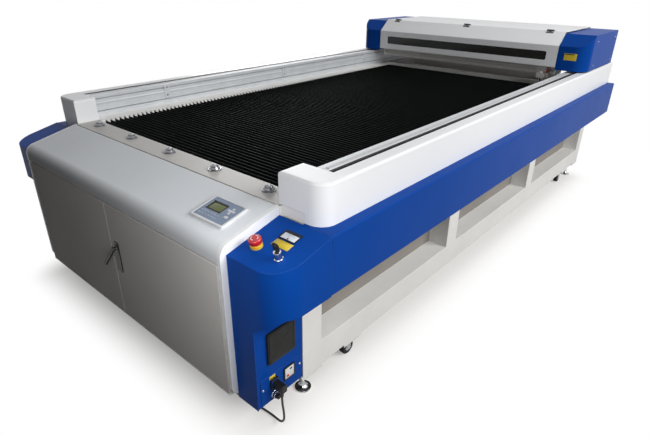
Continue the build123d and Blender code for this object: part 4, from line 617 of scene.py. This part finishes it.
def screw(build, place, head=0.0042, finish=0):
    """A button-head screw with a socket, standing on its placing plane."""
    turned(build, [(0, 0.20 * head), (0.38 * head, 0.20 * head), (0.38 * head, 0.55 * head),
                   (0.75 * head, 0.48 * head), (head, 0.15 * head), (head, -0.1 * head), (0, -0.1 * head)],
           place, 12, finish)


build = bmesh.new()
for across, up in ((0.0485, 0.194), (0.2235, 0.1955)):
    screw(build, inlet(across, up), 0.0044)
add_piece(build, "inlet_screws", [bright], "machine_base")

# Side rails: white folded covers over anodised aluminium profiles, with dark oiled steel guides
# outside and grey toothed belts in the top grooves. Clamp plates are bolted to the inner faces and a
# rib runs along them. Thin black strips, painted shade for the slot the gantry's arms travel in, line its
# top edge and inner wall.
dress(white, "right_rail_cover", "left_rail_cover")
drawn = metal("anodised_profile", (0.62, 0.64, 0.66), 0.44, (500, 3, 500), 0.06, 0.35)
dress(drawn, "rail_profiles")
ground = metal("ground_steel", (0.50, 0.51, 0.52), 0.22, (300, 4, 300), 0.06)
oiled = metal("oiled_steel", (0.10, 0.10, 0.10), 0.35, (300, 4, 300), 0.06)
dress(oiled, "guide_rails")
tooth_pitch = 0.005
belt, surface = new_finish("toothed_belt", {"Specular IOR Level": 0.25})
tree = belt.node_tree
place = add_node(tree, "ShaderNodeTexCoord")
teeth = add_node(tree, "ShaderNodeTexWave", {"bands_direction": "Y"},
                 {"Scale": 2 * pi / (20 * tooth_pitch)})
dust = add_node(tree, "ShaderNodeTexNoise", sockets={"Scale": 60.0, "Detail": 5.0})
soil = add_node(tree, "ShaderNodeMix", {"data_type": "RGBA"})
soil.inputs["A"].default_value = (0.58, 0.60, 0.62, 1)
soil.inputs["B"].default_value = (0.38, 0.38, 0.38, 1)
spread = add_node(tree, "ShaderNodeMapRange", sockets={"To Min": 0.45, "To Max": 0.75})
relief = add_node(tree, "ShaderNodeBump", sockets={"Strength": 0.5, "Distance": 0.001})
join(tree, [
    (place.outputs["Object"], teeth.inputs["Vector"]), (place.outputs["Object"], dust.inputs["Vector"]),
    (teeth.outputs["Fac"], relief.inputs["Height"]), (relief.outputs["Normal"], surface.inputs["Normal"]),
    (dust.outputs["Fac"], soil.inputs["Factor"]), (soil.outputs["Result"], surface.inputs["Base Color"]),
    (dust.outputs["Fac"], spread.inputs["Value"]), (spread.outputs["Result"], surface.inputs["Roughness"]),
])
dress(belt, "drive_belts", "head_belt")
rail_low, rail_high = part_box("rail_profiles")
rail_start = rail_low.y - door_face
rail_end = rail_high.y - door_face
rail_middle = (rail_start + rail_end) / 2
rail_run = rail_end - rail_start - 0.002
build = bmesh.new()
for side in (-1, 1):
    slab(build, (0.0026, rail_run, 0.009), spot(side * 0.7668, rail_middle, 0.842), 0.0008, finish=1)
    for clamp_y in (0.8079, 1.7422, 2.6765):
        for clamp_z in (0.824, 0.868):
            bolt = spot(side * 0.765, clamp_y, clamp_z) @ Matrix.Rotation(-side * pi / 2, 4, "Y")
            turned(build, [(0, 0.0020), (0.0025, 0.0020), (0.0025, 0.0050), (0.0048, 0.0050),
                           (0.0055, 0.0044), (0.0055, -0.0005), (0, -0.0005)], bolt, 12)
add_piece(build, "profile_ribs", [ground, drawn], "machine_base")
# Black strips of painted shade along each slot's top edge and inner wall.
build = bmesh.new()
for side in (-1, 1):
    slab(build, (0.0115, rail_run, 0.0010), spot(side * 0.82405, rail_middle, 0.8845), 0.0003)
    slab(build, (0.0010, rail_run, 0.0300), spot(side * 0.8295, rail_middle, 0.8700), 0.0003)
add_piece(build, "slot_shade_strips", [rubber], "machine_base")

# Front plate: beige folded sheet with five ball units let into it. Each is a plated cup with a felt
# ring round a steel ball, so that a sheet rolls onto the bed. The dark ring at each ball's mouth
# also stands in for shade in the gap, and a second dark ring lower on the cup is a painted dark reflection
# band.
beige = sprayed("front_plate_paint", (0.43, 0.42, 0.40), 0.40, 0.12, 0.35, 0.4,
                {"Specular IOR Level": 0.35})
dress(beige, "front_plate")
chrome = metal("ball_chrome", (0.24, 0.245, 0.26), 0.06, (90, 90, 900), 0.03)
dress(chrome, "ball_units")
ball_pitch = 0.300
ball_row = 0.313
plate_top = 0.775
build = bmesh.new()
for number in range(-2, 3):
    ball_place = spot(ball_pitch * number, ball_row, plate_top)
    turned(build, [(0.0136, 0.0126), (0.0152, 0.0126), (0.0158, 0.0132), (0.0150, 0.0142), (0.0140, 0.0142),
                   (0.0136, 0.0126)], ball_place, 32)
    # A dark band lower on the cup: a painted reflection band, not a part of the unit.
    turned(build, [(0.0188, 0.0036), (0.0206, 0.0036), (0.0206, 0.0046), (0.0188, 0.0046),
                   (0.0188, 0.0036)], ball_place, 32)
add_piece(build, "ball_felts_and_painted_bands", [rubber], "machine_base")

# Slat bed: black knife slats seated on edge in the notched cream combs.
# Cutting leaves brown dust and fine streaks on them.
slat_black, surface = new_finish("slat_black", {"Specular IOR Level": 0.06})
tree = slat_black.node_tree
place = add_node(tree, "ShaderNodeTexCoord")
pull = add_node(tree, "ShaderNodeMapping", sockets={"Scale": (4.0, 40.0, 160.0)})
streak = add_node(tree, "ShaderNodeTexNoise", sockets={"Scale": 1.0, "Detail": 6.0, "Roughness": 0.7})
cloud = add_node(tree, "ShaderNodeTexNoise", sockets={"Scale": 2.2, "Detail": 3.0})
dust_mask = add_node(tree, "ShaderNodeMapRange", sockets={"From Min": 0.52, "From Max": 0.8})
patch = add_node(tree, "ShaderNodeMath", {"operation": "MULTIPLY"})
tint = add_node(tree, "ShaderNodeMix", {"data_type": "RGBA"})
tint.inputs["A"].default_value = (0.0032, 0.0046, 0.0043, 1)
tint.inputs["B"].default_value = (0.019, 0.017, 0.014, 1)
spread = add_node(tree, "ShaderNodeMapRange", sockets={"To Min": 0.40, "To Max": 0.75})
relief = add_node(tree, "ShaderNodeBump", sockets={"Strength": 0.2, "Distance": 0.0004})
join(tree, [
    (place.outputs["Object"], pull.inputs["Vector"]), (pull.outputs["Vector"], streak.inputs["Vector"]),
    (place.outputs["Object"], cloud.inputs["Vector"]), (streak.outputs["Fac"], dust_mask.inputs["Value"]),
    (dust_mask.outputs["Result"], patch.inputs[0]), (cloud.outputs["Fac"], patch.inputs[1]),
    (patch.outputs["Value"], tint.inputs["Factor"]), (tint.outputs["Result"], surface.inputs["Base Color"]),
    (streak.outputs["Fac"], spread.inputs["Value"]),
    (spread.outputs["Result"], surface.inputs["Roughness"]),
    (streak.outputs["Fac"], relief.inputs["Height"]), (relief.outputs["Normal"], surface.inputs["Normal"]),
])
dress(slat_black, "slat_bed")

# Gantry beam and drive: a drawn aluminium box section on steel brackets, with a ground drive shaft
# and black-lacquered motors.
drawn_across = metal("drawn_beam", (0.44, 0.425, 0.40), 0.40, (3, 500, 500), 0.06, 0.5)
dress(drawn_across, "gantry_beam", "head_carriage")
machined = metal("machined_steel", (0.46, 0.47, 0.48), 0.3, (40, 300, 300), 0.08)
dress(machined, "gantry_brackets", "drive_shaft")
motor_black = sprayed("motor_lacquer", (0.014, 0.014, 0.016), 0.34, 0.1, 0.4, 0.5)
dress(motor_black, "axis_motors")

# Laser tube: a water-cooled glass tube with a narrow bore tube inside, plated ends, and two
# aluminium stands with clamp rings. It lies behind the beam, under the covers.
laser_y = 3.300
laser_z = 1.005
laser_half = 0.790
bore_half = 0.770
laser_turn = Matrix.Rotation(pi / 2, 4, "Y")


def filmed(name, sockets, scale, detail, clear, smeared):
    """A clear or tinted finish whose gloss is broken by a thin film of dust."""
    finish, surface = new_finish(name, sockets)
    tree = finish.node_tree
    place = add_node(tree, "ShaderNodeTexCoord")
    film = add_node(tree, "ShaderNodeTexNoise", sockets={"Scale": scale, "Detail": detail})
    spread = add_node(tree, "ShaderNodeMapRange", sockets={"To Min": clear, "To Max": smeared})
    join(tree, [(place.outputs["Object"], film.inputs["Vector"]),
                (film.outputs["Fac"], spread.inputs["Value"]),
                (spread.outputs["Result"], surface.inputs["Roughness"])])
    return finish


glass = filmed("laser_glass", {"Base Color": (0.86, 0.92, 0.93, 1), "Transmission Weight": 0.92,
                               "IOR": 1.47}, 25.0, 4.0, clear=0.02, smeared=0.14)
milk_glass = moulding("milk_glass", (0.62, 0.60, 0.64), 0.1, 200.0, 0.02)
build = bmesh.new()
turned(build, [(0.0360, -laser_half), (0.0400, -laser_half), (0.0400, laser_half), (0.0360, laser_half),
               (0.0360, -laser_half)], spot(0, laser_y, laser_z) @ laser_turn, 48)
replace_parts(add_piece(build, "laser_jacket", [glass], "gantry"), "laser_tube")
build = bmesh.new()
turned(build, [(0, -bore_half), (0.0120, -bore_half), (0.0120, bore_half), (0, bore_half)],
       spot(0, laser_y, laser_z) @ laser_turn, 24)
for ring_x in (-0.55, -0.18, 0.18, 0.55):
    turned(build, [(0.0115, -0.012), (0.0352, -0.004), (0.0352, 0.004), (0.0115, 0.012)],
           spot(ring_x, laser_y, laser_z) @ laser_turn, 24)
add_piece(build, "laser_bore", [milk_glass], "gantry")
build = bmesh.new()
for side in (-1, 1):
    end = spot(side * laser_half, laser_y, laser_z) @ Matrix.Rotation(side * pi / 2, 4, "Y")
    turned(build, [(0, -0.004), (0.0404, -0.004), (0.0404, 0.010), (0.0340, 0.012), (0.0340, 0.044),
                   (0.0300, 0.048), (0.0300, 0.056), (0.0120, 0.060), (0, 0.060)], end, 40)
add_piece(build, "laser_ends", [bright], "gantry")
stand_x = 0.520
build = bmesh.new()
for side in (-1, 1):
    slab(build, (0.030, 0.110, 0.012), spot(side * stand_x, laser_y, 0.877), 0.0015, finish=1)
    slab(build, (0.024, 0.070, 0.074), spot(side * stand_x, laser_y, 0.919), 0.003, finish=1)
    turned(build, [(0.0402, -0.013), (0.0490, -0.013), (0.0490, 0.013), (0.0402, 0.013), (0.0402, -0.013)],
           spot(side * stand_x, laser_y, laser_z) @ laser_turn, 40)
    for foot in (-1, 1):
        screw(build, spot(side * stand_x, laser_y + foot * 0.046, 0.883), 0.005, 2)
add_piece(build, "laser_stands", [black_moulding, drawn_across, ground], "gantry")

# Gantry covers: white folded sheet, the front one a flap with a long tinted pane, held by three
# dark pin hinges. The pane is polished acrylic in a tight cut-out.
dress(white, "gantry_front_cover", "gantry_rear_cover")
pane = filmed("tinted_pane", {"Base Color": (0.032, 0.033, 0.030, 1), "Transmission Weight": 0.3,
                              "Specular IOR Level": 0.2, "IOR": 1.46}, 18.0, 5.0, clear=0.05, smeared=0.20)
dress(pane, "cover_window")
hinge_dark = sprayed("hinge_lacquer", (0.020, 0.020, 0.022), 0.36, 0.08, 0.4, 0.6)
crease_y = 2.895
cover_top = 1.125
hinge_drop = 0.0002
sleeve = 0.00515
leaf_width = 0.0466
leaf_thickness = 0.0028
hinge_screw = 0.0028
flap_drop = 0.079
flap_run = 0.095
flap_slope = Matrix.Rotation(atan2(flap_drop, flap_run), 4, "X")
for body, part_name in (("gantry", "hinge_fixed_leaves"), ("front_flap", "hinge_flap_leaves")):
    build = bmesh.new()
    for hinge_x in (-0.605, 0.0, 0.605):
        knuckle = spot(hinge_x, crease_y, cover_top + 0.005 - hinge_drop) @ laser_turn
        if body == "gantry":
            slab(build, (leaf_width, 0.0178, leaf_thickness),
                 spot(hinge_x, crease_y + 0.0136, cover_top + 0.0010), 0.0005)
            for side in (-1, 1):
                turned(build, [(0, side * 0.0092), (sleeve, side * 0.0092), (sleeve, side * 0.0230),
                               (0, side * 0.0232)], knuckle, 64)
                screw(build, spot(hinge_x + side * 0.015, crease_y + 0.0155, cover_top + 0.0024),
                      hinge_screw, 1)
        else:
            turned(build, [(0, -0.0089), (sleeve, -0.0089), (sleeve, 0.0089), (0, 0.0089)], knuckle, 64)
            leaf = spot(hinge_x, crease_y, cover_top) @ flap_slope
            slab(build, (0.0178, 0.0060, leaf_thickness), leaf @ Matrix.Translation((0, -0.0064, 0.0010)),
                 0.0005)
            slab(build, (leaf_width, 0.0140, leaf_thickness),
                 leaf @ Matrix.Translation((0, -0.0146, 0.0010)), 0.0005)
            for side in (-1, 1):
                screw(build, leaf @ Matrix.Translation((side * 0.015, -0.0152, 0.0024)), hinge_screw, 1)
    add_piece(build, part_name, [hinge_dark, oiled], body)

# Gantry end caps: blue sheet boxes held by screws in their sides, with a plain yellow plate bent
# round the right cap's front corner.
cap_side = 0.897
build = bmesh.new()
for side in (-1, 1):
    for cap_y in (2.960, 3.380):
        for cap_z in (0.925, 1.075):
            screw(build, spot(side * cap_side, cap_y, cap_z) @ Matrix.Rotation(side * pi / 2, 4, "Y"))
add_piece(build, "cap_screws", [pressed], "gantry")
sticker_thickness = 0.0008
cap_radius = 0.090
corner_start = 0.807
build = bmesh.new()
sticker = bmesh.ops.create_grid(build, x_segments=24, y_segments=1, size=0.5)["verts"]
bmesh.ops.scale(build, vec=(0.078, 0.043, 1.0), verts=sticker)
bmesh.ops.transform(build, matrix=spot(0.789, 2.8000, 0.9835) @ Matrix.Rotation(pi / 2, 4, "X"),
                    verts=sticker)
for vert in sticker:
    beyond = max(0.0, vert.co.x - corner_start)
    vert.co.y += cap_radius - sqrt(cap_radius ** 2 - beyond ** 2)
thicken(build, build.faces[:], (0, -sticker_thickness, 0))
slab(build, (0.060, 0.0010, 0.0050), spot(0.782, 2.7990, 1.0000), 0.0002, steps=1, finish=1)
add_piece(build, "cap_plate", [plate_yellow, black_moulding], "gantry")

# Cutting head: an aluminium plate with mirror block and lens clamp, a plated lens tube, a red
# locking lever and socket-head screws.
dress(barrel, "lens_tube")
head_x = 0.620
head_face = 2.8407
lever_x = 0.6545
build = bmesh.new()
turned(build, [(0, 0.010), (0.0050, 0.010), (0.0062, 0.008), (0.0062, 0.0), (0, 0.0)],
       spot(lever_x, head_face, 0.872) @ Matrix.Rotation(pi / 2, 4, "X"), 20)
slab(build, (0.0115, 0.0070, 0.034), spot(lever_x, 2.8290, 0.884) @ Matrix.Rotation(radians(8), 4, "Y"),
     0.0022, steps=3)
for across in (-0.0335, 0.0335):
    for up in (0.845, 0.9525):
        screw(build, spot(head_x + across, head_face, up) @ Matrix.Rotation(pi / 2, 4, "X"), 0.0042, 1)
for across in (-0.018, 0.018):
    screw(build, spot(head_x + across, 2.8147, 0.919) @ Matrix.Rotation(pi / 2, 4, "X"), 0.0040, 1)
add_piece(build, "head_lever", [stop_red, ground], "cutting_head")

# Floor and light: a plain pale floor that fades to white away from the machine, a long soft light along
# the right side, a weak one above, a small one at the right front and one behind, in a white surround.
floor_reach = 30.0
shadow_half = (0.74, 1.62, 0.0)


def in_sight(tree):
    """One where the camera, a reflection or glass looks, and zero for light that bounces on."""
    seen = add_node(tree, "ShaderNodeLightPath")
    total = seen.outputs["Is Camera Ray"]
    for ray in ("Is Glossy Ray", "Is Transmission Ray"):
        larger = add_node(tree, "ShaderNodeMath", {"operation": "MAXIMUM"})
        join(tree, [(total, larger.inputs[0]), (seen.outputs[ray], larger.inputs[1])])
        total = larger.outputs["Value"]
    return total


floor_mesh = bpy.data.meshes.new("floor")
build = bmesh.new()
bmesh.ops.create_grid(build, x_segments=1, y_segments=1, size=floor_reach)
build.to_mesh(floor_mesh)
build.free()
floor = bpy.data.objects.new("floor", floor_mesh)
bpy.context.scene.collection.objects.link(floor)
floor_finish, surface = new_finish("floor_white", {"Base Color": (0.90, 0.86, 0.82, 1), "Roughness": 0.9,
                                                   "Specular IOR Level": 0.0})
tree = floor_finish.node_tree
place = add_node(tree, "ShaderNodeTexCoord")
mirrored = add_node(tree, "ShaderNodeVectorMath", {"operation": "ABSOLUTE"})
past = add_node(tree, "ShaderNodeVectorMath", {"operation": "SUBTRACT"})
past.inputs[1].default_value = shadow_half
outside = add_node(tree, "ShaderNodeVectorMath", {"operation": "MAXIMUM"})
away = add_node(tree, "ShaderNodeVectorMath", {"operation": "LENGTH"})
fade = add_node(tree, "ShaderNodeMapRange", {"interpolation_type": "SMOOTHSTEP"},
                {"From Min": 0.0, "From Max": 0.24, "To Min": 0.32, "To Max": 1.0})
dark = add_node(tree, "ShaderNodeBsdfDiffuse", sockets={"Color": (0.034, 0.026, 0.019, 1)})
glow = add_node(tree, "ShaderNodeEmission", sockets={"Strength": 1.0})
lift = add_node(tree, "ShaderNodeMixShader")
choose = add_node(tree, "ShaderNodeMixShader")
join(tree, [
    (place.outputs["Object"], mirrored.inputs[0]), (mirrored.outputs["Vector"], past.inputs[0]),
    (past.outputs["Vector"], outside.inputs[0]), (outside.outputs["Vector"], away.inputs[0]),
    (away.outputs["Value"], fade.inputs["Value"]), (fade.outputs["Result"], lift.inputs["Fac"]),
    (surface.outputs["BSDF"], lift.inputs[1]), (glow.outputs["Emission"], lift.inputs[2]),
    (in_sight(tree), choose.inputs["Fac"]), (dark.outputs["BSDF"], choose.inputs[1]),
    (lift.outputs["Shader"], choose.inputs[2]),
    (choose.outputs["Shader"], tree.nodes["Material Output"].inputs["Surface"]),
])
floor_mesh.materials.append(floor_finish)


def soft_light(name, stand, target, width, height, power):
    """A soft light of that width and height that stands at one point and is turned to another."""
    data = bpy.data.lights.new(name, "AREA")
    data.shape = "RECTANGLE"
    data.size = width
    data.size_y = height
    data.energy = power
    lamp = bpy.data.objects.new(name, data)
    lamp.visible_camera = False
    bpy.context.scene.collection.objects.link(lamp)
    aim = Vector(target) - Vector(stand)
    lamp.matrix_world = Matrix.Translation(stand) @ aim.to_track_quat("-Z", "Y").to_matrix().to_4x4()


soft_light("side_light", (4.6, 0.3, 3.1), (0.7, 0.2, 0.6), width=4.4, height=2.0, power=262.0)
soft_light("top_light", (0.0, 0.3, 4.6), (0.0, 0.2, 0.6), width=3.4, height=3.4, power=44.0)
soft_light("front_light", (1.2, -2.15, 1.05), (0.5, -1.5, 0.6), width=0.6, height=0.6, power=5.5)
soft_light("rear_light", (-4.6, 3.4, 1.9), (-0.5, 0.6, 0.5), width=2.4, height=2.4, power=115.0)
world = bpy.data.worlds.new("surround")
bpy.context.scene.world = world
world.use_nodes = True
tree = world.node_tree
backdrop = tree.nodes["Background"]
backdrop.inputs["Color"].default_value = (1, 1, 1, 1)
level = add_node(tree, "ShaderNodeMapRange", sockets={"To Min": 0.025, "To Max": 1.0})
join(tree, [
    (in_sight(tree), level.inputs["Value"]), (level.outputs["Result"], backdrop.inputs["Strength"]),
])

bpy.context.scene.view_settings.view_transform = "Standard"
